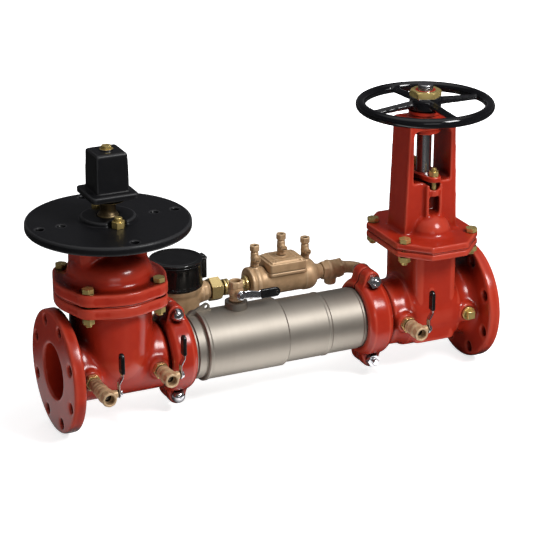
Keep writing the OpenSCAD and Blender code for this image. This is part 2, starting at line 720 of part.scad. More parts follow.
half_gap = 0.6;
module coupling_half(x, side) color(cast_red) translate([x, 0, 0]) intersection() {
    coupling_ring();
    translate([-coupling_w, side > 0 ? half_gap : -half_gap - 2 * coupling_r, -2 * coupling_r])
        cube([2 * coupling_w, 2 * coupling_r, 4 * coupling_r]);
}

coupling_in = valve_len + joint_gap / 2;
coupling_out = lay_len - coupling_in;
module inlet_coupling_front() coupling_half(coupling_in, -1);
module inlet_coupling_rear() coupling_half(coupling_in, 1);
module outlet_coupling_front() coupling_half(coupling_out, -1);
module outlet_coupling_rear() coupling_half(coupling_out, 1);

// Track-head bolt along Y: domed head at its start, hex nut and stud end at the other
stud_end = 9;
track_nut_h = 12;
module track_bolt() {
    translate([0, 0, -ear_depth - track_nut_h - stud_end])
        turned(coupling_bolt_d / 2, 2 * ear_depth + track_nut_h + stud_end + 1, 1);
    translate([0, 0, ear_depth + 0.05]) rotate_extrude() polygon(concat(
        [[0, 0], [12.5, 0]], arc(0, 2, 12.5, 0, 80, 8), [[0, 14.4]]
    ));
    translate([0, 0, -ear_depth - 0.05]) rotate([180, 0, 0]) hex(22, track_nut_h);
}

module coupling_bolts() color(zinc) for (z = [-1, 1]) {
    translate([coupling_in, 0, z * coupling_bolt_z]) to_front() track_bolt();
    translate([coupling_out, 0, z * coupling_bolt_z]) rotate([-90, 0, 0]) track_bolt();
}

module coupling_gaskets() color(rubber) for (x = [coupling_in, coupling_out])
    translate([x - key_from + 1, 0, 0]) along_line() difference() {
        cylinder(r = gasket_r - 0.3, h = 2 * key_from - 2, $fn = 96);
        translate([0, 0, -1]) cylinder(r = pipe_r + 0.2, h = 2 * key_from, $fn = 96);
    }

bead_at = housing_len - 104;
end_bore = pipe_r - tube_wall;
tube_bore = tube_r - tube_wall;
sleeve_bore = tube_r + 0.1;
sleeve_r = sleeve_bore + sleeve_t;
outlet_at = 128;
weld_r = 21;
weld_top = sleeve_r + 11.5;
socket_d = 9;
module housing_tube() color(steel) translate([housing_x, 0, 0]) difference() {
    along_line() rotate_extrude($fn = 96) polygon([
        [end_bore, 0], [pipe_r, 0],
        [pipe_r, groove_from], [groove_r, groove_from],
        [groove_r, groove_from + groove_w], [pipe_r, groove_from + groove_w],
        [pipe_r, 29], [tube_r, 31],
        [tube_r, sleeve_start - 4], [tube_r - 1.5, sleeve_start - 3], [tube_r - 1.5, sleeve_start - 1],
        [tube_r, sleeve_start], [tube_r, bead_at], [tube_r + 0.8, bead_at + 2],
        [tube_r + 0.8, bead_at + 6], [tube_r - 1.2, bead_at + 9],
        [tube_r - 1.2, housing_len - 32], [pipe_r, housing_len - 29],
        [pipe_r, housing_len - groove_from - groove_w], [groove_r, housing_len - groove_from - groove_w],
        [groove_r, housing_len - groove_from], [pipe_r, housing_len - groove_from],
        [pipe_r, housing_len], [end_bore, housing_len],
        [end_bore, housing_len - 29], [tube_bore, housing_len - 32],
        [tube_bore, 31], [end_bore, 29]
    ]);
    translate([outlet_at, 0, 0]) cylinder(d = port_d, h = 80);
}

lug_t = 5;
lug_rise = 7.4;
module housing_sleeve() color(steel) translate([housing_x, 0, 0]) difference() {
    union() {
        along_line() translate([0, 0, sleeve_start]) rotate_extrude($fn = 96) polygon([
            [sleeve_bore, 0], [sleeve_r - 1, 0], [sleeve_r + 1.5, 2], [sleeve_r + 1.5, 6],
            [sleeve_r, 9], [sleeve_r, sleeve_len - 3], [sleeve_r - 2, sleeve_len],
            [sleeve_bore, sleeve_len]
        ]);
        translate([outlet_at, 0, sleeve_r - 3]) cylinder(r = weld_r, h = weld_top - sleeve_r + 3);
        translate([0, lug_t + 3, 0]) to_front() linear_extrude(lug_t) polygon(concat(
            [[30, tube_r + 0.5], [sleeve_start + 0.5, tube_r + 0.5], [sleeve_start + 0.5, sleeve_r - 1],
             [80, sleeve_r - 1]],
            arc(70, sleeve_r + lug_rise, 7, -10, 110, 8)
        ));
    }
    along_line() cylinder(r = sleeve_bore, h = sleeve_start + sleeve_len + 1, $fn = 96);
    translate([outlet_at, 0, 0]) cylinder(d = port_d, h = 90);
    translate([outlet_at, 0, weld_top - socket_d]) cylinder(r = cock_d / 2 + 0.7, h = 20);
    translate([70, 20, sleeve_r + lug_rise]) to_front() cylinder(d = 7, h = 40);
}

// Check seats, each with two ears for its clapper's hinge pin
check_at = [44, 226];
seat_t = 12;
hinge_z = tube_bore - 10.8;
hinge_dx = 9;
hinge_d = 6;
ear_y = 19;
module check_seats() color(bronze) for (x = check_at) translate([housing_x + x, 0, 0]) difference() {
    union() {
        along_line() difference() {
            cylinder(r = tube_bore - 0.1, h = seat_t, $fn = 96);
            translate([0, 0, -1]) cylinder(d = seat_bore_d, h = seat_t + 2, $fn = 96);
        }
        for (y = [-1, 1])
            translate([seat_t - 1, y * ear_y - 2.5, hinge_z - 6]) cube([hinge_dx + 6, 5, 9]);
    }
    translate([seat_t + hinge_dx, 0, hinge_z]) to_front()
        translate([0, 0, -30]) cylinder(d = hinge_d + 2 * run, h = 60);
}

module clapper(x) color(bronze) translate([housing_x + x + seat_t, 0, 0]) {
    along_line() translate([0, 0, 0.3]) turned(clapper_r, 8, 1);
    translate([hinge_dx, 0, hinge_z]) {
        to_front() translate([0, 0, -ear_y - 2.4]) cylinder(d = hinge_d, h = 2 * ear_y + 4.8);
        translate([-5, -16, -24]) cube([10, 32, 22]);
        to_front() translate([0, 0, -16]) cylinder(r = 5, h = 32);
    }
    translate([7, -8, -10]) cube([8, 16, 46]);
}

module first_clapper() clapper(check_at[0]);
module second_clapper() clapper(check_at[1]);

// Test cock, drawn with its outlet along +Z, its stem along +X and its lever along +Y
stem_at = cock_len - 22;
ring_at = [3, 10];
module cock_barrel(extra) difference() {
    union() {
        translate([0, 0, -extra]) cylinder(d = cock_d - 4, h = extra + 8);
        if (extra > 0) for (k = [0 : 1])
            translate([0, 0, k * 11 - extra * 0.7]) turned(cock_d / 2 - 0.4, 6, 1);
        translate([0, 0, 1]) turned(cock_d / 2 - 1, cock_len - 3, 1);
        for (z = ring_at) translate([0, 0, z]) turned(cock_d / 2 + 0.5, 5, 1);
        translate([0, 0, cock_len - 13]) intersection() {
            cylinder(d = cock_d + 2.4, h = 13, $fn = 8);
            turned(cock_d / 2 + 1, 13, 1.5);
        }
        translate([0, 0, stem_at]) sphere(d = cock_d + 3);
        translate([0, 0, stem_at]) along_line() cylinder(d = 15, h = 22);
    }
    translate([0, 0, -extra - 1]) cylinder(d = 13, h = extra + cock_len + 2);
    translate([0, 0, cock_len - 12]) cylinder(d = 18, h = 13);
    translate([0, 0, stem_at]) sphere(d = 20);
    translate([0, 0, stem_at]) along_line() cylinder(d = 8 + 2 * run, h = 30);
}

// Chromed ball, stem, nut and cranked lever of a test cock
lever_w = 13;
lever_t = 2.4;
lever_x = 23;
crank_x = 7;
lever_end = lever_len - 12;
module cock_lever() translate([0, 0, stem_at]) {
    difference() {
        along_line() rotate_extrude() polygon(arc(0, 0, 9.8, -90, 90, 16));
        to_front() translate([0, 0, -20]) cylinder(d = 12, h = 40);
    }
    along_line() cylinder(d = 8, h = lever_x + 6);
    translate([lever_x + 0.2, 0, 0]) {
        along_line() cylinder(d = 18, h = lever_t);
        translate([lever_t - 0.1, 0, 0]) along_line() hex(12, 5);
        translate([0, 0, -lever_w / 2]) linear_extrude(lever_w) polygon([
            [0, 0], [lever_t, 0], [lever_t, 18], [lever_t + crank_x, 30],
            [lever_t + crank_x, lever_end], [crank_x, lever_end], [crank_x, 31], [0, 19]
        ]);
    }
}

module cock_grip() translate([lever_x + 0.2 + crank_x, 0, stem_at]) difference() {
    translate([-2.4, 0, 0]) along_line() union() {
        translate([-8, 36, 0]) cube([16, lever_len - 44, lever_t + 4.8]);
        translate([0, lever_len - 8, 0]) cylinder(d = 16, h = lever_t + 4.8);
    }
    translate([-run, 0, -lever_w / 2 - run]) cube([lever_t + 2 * run, lever_end + run, lever_w + 2 * run]);
    translate([-20, lever_end + 5, 0]) along_line() cylinder(d = 4, h = 40);
}

module place_front(x, extra) translate([x, -boss_face - 9 - extra, 0]) to_front() children();
module place_top() translate([housing_x + outlet_at, 0, weld_top - socket_d]) rotate([0, 0, -90]) children();
first_x = inlet_x - boss_offset;
second_x = inlet_x + boss_offset;
third_x = outlet_x - boss_offset;

module first_cock() color(bronze) place_front(first_x, extension_len) cock_barrel(extension_len);
module first_lever() color(zinc) place_front(first_x, extension_len) cock_lever();
module first_grip() color(black) place_front(first_x, extension_len) cock_grip();
module second_cock() color(bronze) place_front(second_x, 0) cock_barrel(0);
module second_lever() color(zinc) place_front(second_x, 0) cock_lever();
module second_grip() color(black) place_front(second_x, 0) cock_grip();
module third_cock() color(bronze) place_front(third_x, 0) cock_barrel(0);
module third_lever() color(zinc) place_front(third_x, 0) cock_lever();
module third_grip() color(black) place_front(third_x, 0) cock_grip();
module top_cock() color(bronze) place_top() cock_barrel(0);
module top_lever() color(zinc) place_top() cock_lever();
module top_grip() color(black) place_top() cock_grip();

// Hexagon nipples that join the test cocks to their bosses
module cock_nipples() color(brass) {
    for (p = [[first_x, extension_len], [second_x, 0], [third_x, 0]])
        translate([p[0], -boss_face - 0.05, 0]) to_front() nipple();
    translate([housing_x + outlet_at, 0, weld_top - socket_d - 9]) cylinder(d = port_d - 0.4, h = 8.9);
}

module nipple() difference() {
    union() {
        translate([0, 0, -10]) cylinder(d = port_d - 0.4, h = 11);
        hex(27, 8.9);
    }
    translate([0, 0, -11]) cylinder(d = 11, h = 30);
}

small_turn = 20;
wide_turn = 30;
pipe_rad = bypass_pipe_d / 2;
band = 2.5;

// Elbow with banded ends: enters at the origin along +X, leaves along +Y
module elbow(turn) {
    bend(turn, pipe_rad + 0.6);
    along_line() translate([0, 0, -3]) cylinder(r = pipe_rad + band, h = 7);
    translate([turn, turn - 4, 0]) rotate([-90, 0, 0]) cylinder(r = pipe_rad + band, h = 7);
}

// Straight pipe along +Z, from the origin
module pipe_run(length) cylinder(r = pipe_rad, h = length);

module bypass_inlet() color(bronze) translate([second_x, 0, 0]) {
    translate([0, boss_face - 9, 0]) rotate([-90, 0, 0]) cylinder(d = port_d - 0.4, h = 12);
    translate([0, boss_face + 0.05, 0]) rotate([-90, 0, 0])
        pipe_run(bypass_y - small_turn - boss_face);
    translate([0, boss_face + 0.05, 0]) rotate([-90, 0, 0]) hex(34, 12);
    translate([0, bypass_y - small_turn, 0]) rotate([90, 0, 90]) elbow(small_turn);
    translate([0, bypass_y, bypass_z - small_turn]) rotate([-90, -90, 0]) elbow(small_turn);
    translate([small_turn, bypass_y, bypass_z]) along_line() {
        translate([0, 0, 2]) pipe_run(meter_in - second_x - small_turn - 2);
        translate([0, 0, meter_in - second_x - small_turn - 6]) hex(36, 5.9);
    }
}

meter_in_len = 95;
meter_out_len = 67;
meter_in = second_x + meter_lead;
meter_x = meter_in + meter_in_len;
meter_out = meter_x + meter_out_len;
meter_low = -8;
register_low = 63;
register_h = 49;
lid_t = 6;
lid_hinge_x = register_r + 6.5;
module meter_body() color(bronze) translate([meter_x, bypass_y, 0]) difference() {
    union() {
        rotate_extrude($fn = 72) polygon([
            [0, meter_low], [36, meter_low], [40, meter_low + 4], [44, meter_low + 20],
            [44, bypass_z + 6], [register_r - 3, register_low - 8],
            [register_r - 2, register_low], [0, register_low]
        ]);
        translate([meter_in - meter_x + 0.1, 0, bypass_z]) along_line()
            cylinder(r = 17, h = meter_out - meter_in);
        translate([0, 0, bypass_z]) along_line() translate([0, 0, -58]) turned(22, 112, 4);
        translate([meter_in - meter_x + 0.1, 0, bypass_z]) along_line() turned(20, 12, 2);
        translate([meter_out_len - 27, 0, bypass_z]) along_line() cylinder(r = 21.5, h = 20, $fn = 8);
    }
    for (x = [meter_in - meter_x - 1, meter_out - meter_x - 34])
        translate([x, 0, bypass_z]) along_line() cylinder(d = port_d, h = 36);
}

module meter_register() color(black) translate([meter_x, bypass_y, register_low + 0.05]) difference() {
    union() {
        rotate_extrude($fn = 72) polygon([
            [0, 0], [register_r, 0], [register_r + 1.5, 1.5], [register_r + 1.5, 5],
            [register_r, 7], [register_r, register_h - 4], [register_r + 1.5, register_h - 2],
            [register_r + 1.5, register_h], [0, register_h]
        ]);
        for (y = [-1, 1])
            translate([register_r - 4, y * 9 - 2.5, 8]) cube([lid_hinge_x - register_r + 7, 5, register_h - 8]);
        for (y = [-1, 1]) translate([lid_hinge_x, y * 9, register_h]) to_front()
            translate([0, 0, -2.5]) cylinder(r = 4, h = 5);
    }
    translate([0, 0, register_h - 6]) cylinder(r = register_r - 5, h = 10, $fn = 72);
    translate([lid_hinge_x, 0, register_h]) to_front()
        translate([0, 0, -20]) cylinder(d = 4 + 2 * run, h = 40);
}

module meter_lid() color(black) translate([meter_x, bypass_y, register_low + 0.05 + register_h]) {
    difference() {
        union() {
            translate([0, 0, 0.3]) rotate_extrude($fn = 72) polygon([
                [0, 0], [register_r + 1.5, 0], [register_r + 1.5, lid_t - 2],
                [register_r - 0.5, lid_t], [register_r - 6, lid_t], [register_r - 8, lid_t - 1.2],
                [0, lid_t - 1.2]
            ]);
            translate([register_r - 8, -6, 0.3]) cube([lid_hinge_x - register_r + 8, 12, 3.6]);
            translate([lid_hinge_x, 6, 0]) to_front() cylinder(r = 4, h = 12);
        }
        for (y = [-1, 1]) translate([lid_hinge_x - 6, y * 9 - 3, -5]) cube([12, 6, 12]);
    }
    translate([lid_hinge_x, 11, 0]) to_front() cylinder(d = 4, h = 22);
}

check_len = 158;
check_in = meter_out + union_share * (third_x - wide_turn - meter_out - check_len);
check_x = check_in + 74;
module bypass_unions() color(brass) translate([meter_out - 10, bypass_y, bypass_z]) along_line() difference() {
    union() {
        cylinder(d = port_d - 0.4, h = check_in - meter_out + 22);
        translate([0, 0, 10.1]) hex(42, 21);
        translate([0, 0, 31]) cylinder(r = 18, h = 3);
        translate([0, 0, 39]) turned(16, 5, 1);
        translate([0, 0, 45]) turned(16, 5, 1);
        translate([0, 0, check_in - meter_out + 2.8]) turned(16, 7, 1);
    }
    translate([0, 0, -1]) cylinder(d = 12, h = 200);
}

cover_low = 64;
cover_h = 22;
cover_w = 77;
cover_d = 64;
cocks_on_check = [[check_x - 58, 74], [check_x - 2, cover_low + cover_h + 3], [check_x + 49, 74]];
module check_body() color(bronze) difference() {
    union() {
        translate([check_in, bypass_y, bypass_z]) along_line() rotate_extrude($fn = 72) polygon(concat(
            [[0, 0], [30, 0], [31, 1], [31, 7], [28, 9], [28, 11], [31, 13], [31, 19], [29, 21],
             [29, 112], [31, 114]],
            arc(12, 125, 19, 0, 74, 8),
            [[15, 152], [15, 158], [0, 158]]
        ));
        translate([check_x - 35, bypass_y - 28, bypass_z]) cube([70, 56, cover_low - bypass_z - 6]);
        translate([check_x, bypass_y, cover_low - 7]) round_block(cover_w, cover_d, 7, 5);
        for (c = [cocks_on_check[0], cocks_on_check[2]])
            translate([c[0], bypass_y, bypass_z + 20]) cylinder(r = 9.5, h = c[1] - bypass_z - 20);
    }
    translate([check_x - cover_w / 2 - 1, bypass_y - 40, cover_low]) cube([cover_w + 2, 80, 20]);
    translate([check_in - 1, bypass_y, bypass_z]) along_line() cylinder(d = port_d, h = 20);
    translate([check_in + 145, bypass_y, bypass_z]) along_line() cylinder(d = port_d, h = 20);
}

module check_cover() color(bronze) translate([check_x, bypass_y, cover_low + 0.05]) {
    difference() {
        union() {
            round_block(cover_w, cover_d, cover_h - 4, 5);
            translate([0, 0, cover_h - 4.1]) round_block(cover_w - 8, cover_d - 8, 4.1, 4);
            translate([-2, 0, cover_h - 1]) cylinder(r = 12, h = 4);
            translate([0, 0, cover_h - 1]) difference() {
                round_block(cover_w - 30, cover_d - 20, 2.6, 9);
                translate([0, 0, -1]) round_block(cover_w - 36, cover_d - 26, 5, 6);
            }
        }
        for (p = corners(cover_w / 2 - 9, cover_d / 2 - 9))
            translate([p[0], p[1], cover_h - 6]) cylinder(r = 6.2, h = 10);
    }
    for (p = corners(cover_w / 2 - 9, cover_d / 2 - 9))
        translate([p[0], p[1], cover_h - 6 + 0.05]) hex(9, 5);
}

// Small bronze test cock with a slotted cross stem
small_cock_h = 43;
small_stem_z = 16;
small_stem_d = 8;
module small_cock() difference() {
    union() {
        translate([0, 0, 0.05]) hex(17, 6);
        translate([0, 0, 5]) turned(8, 24, 1);
        translate([0, 0, 27]) cylinder(r = 6, h = 8);
        translate([0, 0, 31]) turned(9.6, 4, 1);
        translate([0, 0, 34]) hex(18.4, small_cock_h - 34);
        translate([0, 7, small_stem_z]) to_front() turned(7, 18, 1);
    }
    translate([0, 20, small_stem_z]) to_front() cylinder(d = small_stem_d + 2 * run, h = 50);
    translate([0, 0, small_cock_h - 8]) cylinder(d = 9, h = 10);
}

module small_stem() difference() {
    translate([0, 8, small_stem_z]) to_front() union() {
        cylinder(d = small_stem_d, h = 26);
        translate([0, 0, 19.4]) turned(6.5, 4, 0.8);
    }
    translate([-8, -20, small_stem_z - 1]) cube([16, 4.5, 2]);
}

module on_check(k) translate([cocks_on_check[k][0], bypass_y, cocks_on_check[k][1]]) children();
module bypass_cocks() color(bronze) for (k = [0 : 2]) on_check(k) small_cock();
module first_bypass_stem() color(bronze) on_check(0) small_stem();
module second_bypass_stem() color(bronze) on_check(1) small_stem();
module third_bypass_stem() color(bronze) on_check(2) small_stem();

check_out = check_in + check_len;
tube_start = third_x - wide_turn;
module bypass_fitting() color(bronze) translate([check_out, bypass_y, bypass_z]) {
    along_line() difference() {
        union() {
            translate([0, 0, -8]) cylinder(d = port_d - 0.4, h = 10);
            translate([0, 0, 0.05]) hex(34, 9);
            translate([0, 0, 8]) turned(18, tube_start - check_out - 12, 1);
            translate([0, 0, 12]) turned(20, 7, 1.5);
            translate([0, 0, tube_start - check_out - 8]) hex(36, 8);
        }
        translate([0, 0, -10]) cylinder(d = 12, h = 100);
    }
    translate([20, 0, -30]) difference() {
        turned(12, 14, 2);
        cylinder(r = 7, h = 3, $fn = 6);
    }
}

module bypass_tube() color(bronze) translate([third_x, 0, 0]) {
    translate([0.05 - wide_turn, bypass_y, bypass_z]) rotate([180, 0, 0]) {
        bend(wide_turn, pipe_rad - 1);
        along_line() cylinder(r = pipe_rad + 1, h = 5);
    }
    translate([0.05, bypass_y - wide_turn, bypass_z]) to_front()
        translate([0, 0, -3]) pipe_run(bypass_y - wide_turn - boss_face - 2 * small_turn);
    translate([0.05, boss_face + 4 + 2 * small_turn, bypass_z]) rotate([-90, 0, -90]) elbow(small_turn);
    translate([0.05, boss_face + 4 + small_turn, small_turn]) rotate([180, 90, 0]) elbow(small_turn);
    translate([0.05, boss_face + 12, 0]) to_front() cylinder(d = port_d - 0.4, h = 20);
    translate([0.05, boss_face + 10, 0]) to_front() hex(34, 9.95);
}

inlet_body();
inlet_bonnet();
inlet_wedge();
inlet_stem_nut();
inlet_stem();
stuffing_nut();
indicator_plate();
plate_studs();
operator_nut();
operator_bolt();
outlet_body();
outlet_yoke();
outlet_wedge();
rising_stem();
gland_follower();
gland_studs();
gland_packing();
yoke_bushing();
handwheel();
handwheel_nut();
body_plug();
bonnet_gaskets();
bonnet_bolts();
inlet_coupling_front();
inlet_coupling_rear();
outlet_coupling_front();
outlet_coupling_rear();
coupling_bolts();
coupling_gaskets();
housing_tube();
housing_sleeve();
check_seats();
first_clapper();
second_clapper();
cock_nipples();
first_cock();
first_lever();
first_grip();
second_cock();
second_lever();
second_grip();
third_cock();
third_lever();
third_grip();
top_cock();
top_lever();
top_grip();
bypass_inlet();
meter_body();
meter_register();
meter_lid();
bypass_unions();
check_body();
check_cover();
bypass_cocks();
first_bypass_stem();
second_bypass_stem();
third_bypass_stem();
bypass_fitting();
bypass_tube();
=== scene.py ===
# %% [markdown]
# # A backflow detector assembly, dressed around its mechanical model
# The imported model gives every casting, bolt and lever at its true size. This script makes them
# look real: sand castings get their fillets and gloss paint, bronze gets its grain, and the
# stainless housing gets its brushed finish. Every number is in metres unless its name says mm.

import json
import math

import bmesh
import bpy
import numpy as np
from mathutils import Matrix, Vector

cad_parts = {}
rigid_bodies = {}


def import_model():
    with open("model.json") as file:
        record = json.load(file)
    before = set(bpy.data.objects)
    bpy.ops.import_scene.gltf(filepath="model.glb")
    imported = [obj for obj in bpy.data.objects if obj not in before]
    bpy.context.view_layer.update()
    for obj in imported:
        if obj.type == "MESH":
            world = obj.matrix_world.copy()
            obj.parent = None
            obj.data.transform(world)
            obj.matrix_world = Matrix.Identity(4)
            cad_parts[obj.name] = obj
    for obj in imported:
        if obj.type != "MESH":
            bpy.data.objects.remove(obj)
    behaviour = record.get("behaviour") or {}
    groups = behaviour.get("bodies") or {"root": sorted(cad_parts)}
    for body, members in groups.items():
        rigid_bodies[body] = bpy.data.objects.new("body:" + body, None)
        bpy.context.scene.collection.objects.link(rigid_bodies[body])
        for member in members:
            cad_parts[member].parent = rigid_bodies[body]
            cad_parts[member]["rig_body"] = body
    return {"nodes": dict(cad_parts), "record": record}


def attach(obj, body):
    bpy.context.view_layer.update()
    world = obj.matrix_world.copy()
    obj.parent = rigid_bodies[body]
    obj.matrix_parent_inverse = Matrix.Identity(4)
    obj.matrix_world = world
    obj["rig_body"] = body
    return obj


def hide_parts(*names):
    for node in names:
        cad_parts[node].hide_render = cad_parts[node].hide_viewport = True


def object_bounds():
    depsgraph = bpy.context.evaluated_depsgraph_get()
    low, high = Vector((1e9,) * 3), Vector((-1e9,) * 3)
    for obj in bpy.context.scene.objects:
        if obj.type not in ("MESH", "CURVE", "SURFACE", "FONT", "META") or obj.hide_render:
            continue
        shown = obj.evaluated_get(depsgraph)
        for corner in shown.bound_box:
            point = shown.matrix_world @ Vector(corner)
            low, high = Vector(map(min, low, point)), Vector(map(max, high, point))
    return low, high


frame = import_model()
cad_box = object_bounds()
mm = 0.001
nodes = frame["nodes"]
slot_of = {part["node"]: part["material_slot"] for part in frame["record"]["subparts"]}
body_of = {name: obj["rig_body"] for name, obj in nodes.items()}
scene = bpy.context.scene
print("nodes:", len(nodes), "box:", [[round(v, 4) for v in corner] for corner in cad_box])

# %% [markdown]
# ## Camera
# The camera stands where the photographer's did. Its place, heading and roll were worked out
# from the outline of the end flange and its eight bolt holes, whose real sizes are known.

# %% Place the camera
PHOTO_PIXELS = 533
FOCAL_PIXELS = 2215.36
SENSOR_MM = 36.0
CAMERA_PLACE = Vector((-1183.45, -3452.44, 1612.30)) * mm
HEADING = math.radians(24.938)
LOOK_DOWN = math.radians(21.234)
ROLL = math.radians(0.038484)

camera = bpy.data.objects.new("camera", bpy.data.cameras.new("camera"))
scene.collection.objects.link(camera)
scene.camera = camera
camera.data.lens = FOCAL_PIXELS / PHOTO_PIXELS * SENSOR_MM
camera.data.sensor_width = SENSOR_MM
camera.data.clip_start, camera.data.clip_end = 0.1, 100.0
ahead = Vector(
    (
        math.sin(HEADING) * math.cos(LOOK_DOWN),
        math.cos(HEADING) * math.cos(LOOK_DOWN),
        -math.sin(LOOK_DOWN),
    )
)
level = ahead.cross(Vector((0, 0, 1))).normalized()
above = level.cross(ahead)
right = level * math.cos(ROLL) + above * math.sin(ROLL)
up = above * math.cos(ROLL) - level * math.sin(ROLL)
turned = Matrix((right, up, -ahead)).transposed().to_4x4()
camera.matrix_world = Matrix.Translation(CAMERA_PLACE) @ turned
print("lens:", round(camera.data.lens, 2), "mm")

# %% [markdown]
# ## Light
# A product picture is lit by large soft boxes. The camera sees a plain white room, and the
# surfaces get plain soft light from it. Reflections see a graded room instead: grey below,
# nearly black above the horizon and rising to white overhead, as in the photograph's metals.

# %% Room and soft boxes
scene.view_settings.view_transform = "Standard"
world = bpy.data.worlds.new("studio")
world.use_nodes = True
scene.world = world
room = world.node_tree
room.nodes.clear()
FILL_STRENGTH = 0.22
ray = room.nodes.new("ShaderNodeLightPath")
seen = room.nodes.new("ShaderNodeMath")
seen.operation = "MAXIMUM"
room.links.new(ray.outputs["Is Camera Ray"], seen.inputs[0])
room.links.new(ray.outputs["Is Transmission Ray"], seen.inputs[1])
direction = room.nodes.new("ShaderNodeTexCoord")
split = room.nodes.new("ShaderNodeSeparateXYZ")
room.links.new(direction.outputs["Generated"], split.inputs[0])
heights = room.nodes.new("ShaderNodeValToRGB")
stops = heights.color_ramp.elements
stops[0].position, stops[0].color = 0.0, (0.30, 0.30, 0.30, 1)
stops[1].position, stops[1].color = 1.0, (1.0, 1.0, 1.0, 1)
for position, shade in (
    (0.46, (0.18, 0.18, 0.19)),
    (0.60, (0.06, 0.06, 0.065)),
    (0.85, (0.05, 0.05, 0.055)),
):
    stop = stops.new(position)
    stop.color = (*shade, 1)
height_share = room.nodes.new("ShaderNodeMapRange")
height_share.inputs["From Min"].default_value = -1.0
room.links.new(split.outputs["Z"], height_share.inputs["Value"])
room.links.new(height_share.outputs["Result"], heights.inputs["Fac"])


def background(strength):
    """Plain white light from all sides."""
    made = room.nodes.new("ShaderNodeBackground")
    made.inputs["Color"].default_value = (1, 1, 1, 1)
    made.inputs["Strength"].default_value = strength
    return made


def choose(kind_of_ray, otherwise, when):
    """Shows one world to rays of a kind and another to the rest."""
    made = room.nodes.new("ShaderNodeMixShader")
    for socket, output in enumerate((kind_of_ray, otherwise.outputs[0], when.outputs[0])):
        room.links.new(output, made.inputs[socket])
    return made


glossy = background(1.0)
room.links.new(heights.outputs["Color"], glossy.inputs["Color"])
by_gloss = choose(ray.outputs["Is Glossy Ray"], background(FILL_STRENGTH), glossy)
by_view = choose(seen.outputs[0], by_gloss, background(1.0))
room.links.new(by_view.outputs[0], room.nodes.new("ShaderNodeOutputWorld").inputs[0])


def softbox(name, place, target, width, height, power):
    lamp = bpy.data.lights.new(name, "AREA")
    lamp.shape = "RECTANGLE"
    lamp.size, lamp.size_y, lamp.energy = width, height, power
    box = bpy.data.objects.new(name, lamp)
    scene.collection.objects.link(box)
    box.location = place
    box.rotation_mode = "QUATERNION"
    box.rotation_quaternion = (Vector(target) - Vector(place)).to_track_quat("-Z", "Y")
    return box


middle = (cad_box[0] + cad_box[1]) / 2
# Name, place from the middle of the part, width, height, watts, and whether reflections see it
SOFT_BOXES = (
    ("key", (1.15, -2.0, 2.05), 0.9, 0.9, 74, True),
    ("front", (-0.6, -3.0, 0.9), 1.4, 0.5, 6, True),
    ("top", (0.3, -0.2, 2.6), 1.6, 1.0, 16, False),
    ("rear", (0.2, 2.6, 1.9), 1.6, 1.0, 18, False),
)
for name, offset, width, height, power, reflected in SOFT_BOXES:
    box = softbox(name, middle + Vector(offset), middle, width, height, power)
    box.visible_glossy = reflected
print("soft boxes:", len(SOFT_BOXES))

# %% [markdown]
# ## Floor
# The floor is a plain pale sheet that keeps a faint shadow. A little extra light that only the
# camera sees turns it white, so no more light has to fall on the object. In reflections it is
# bright in front of the part and before the inlet flange, and dark further off.

# %% Lay the floor
FLOOR_SIZE = 60.0
FLOOR_GAP = 0.5 * mm
floor_mesh = bpy.data.meshes.new("floor")
shape = bmesh.new()
bmesh.ops.create_grid(shape, x_segments=1, y_segments=1, size=FLOOR_SIZE / 2)
bmesh.ops.translate(shape, verts=shape.verts, vec=(middle.x, middle.y, cad_box[0].z - FLOOR_GAP))
shape.to_mesh(floor_mesh)
shape.free()
floor = bpy.data.objects.new("floor", floor_mesh)
scene.collection.objects.link(floor)

# %% [markdown]
# ## A short way to write materials
# A material is a graph of nodes. The class Field wraps one output of a node, so that sums and
# products of patterns can be written like ordinary arithmetic, and Finish adds any other node.

# %% Fields and finishes


class Field:
    """A number that varies over a surface. Arithmetic on it adds Math nodes."""

    def __init__(self, finish, output):
        self.finish = finish
        self.output = output

    def _math(self, operation, *values):
        return self.finish.node("ShaderNodeMath", {"operation": operation}, dict(enumerate(values)))

    def __add__(self, other):
        return self._math("ADD", self, other)

    def __sub__(self, other):
        return self._math("SUBTRACT", self, other)

    def __rsub__(self, other):
        return self._math("SUBTRACT", other, self)

    def __mul__(self, other):
        return self._math("MULTIPLY", self, other)

    def __neg__(self):
        return self._math("MULTIPLY", self, -1.0)

    __radd__ = __add__
    __rmul__ = __mul__

    def clamp(self, low=0.0, high=1.0):
        return self._math("MINIMUM", self._math("MAXIMUM", self, low), high)

    def ramp(self, low, high):
        """0 below low, 1 above high and smooth between them."""
        return self.finish.node(
            "ShaderNodeMapRange",
            {"interpolation_type": "SMOOTHSTEP"},
            {"Value": self, "From Min": low, "From Max": high},
        )


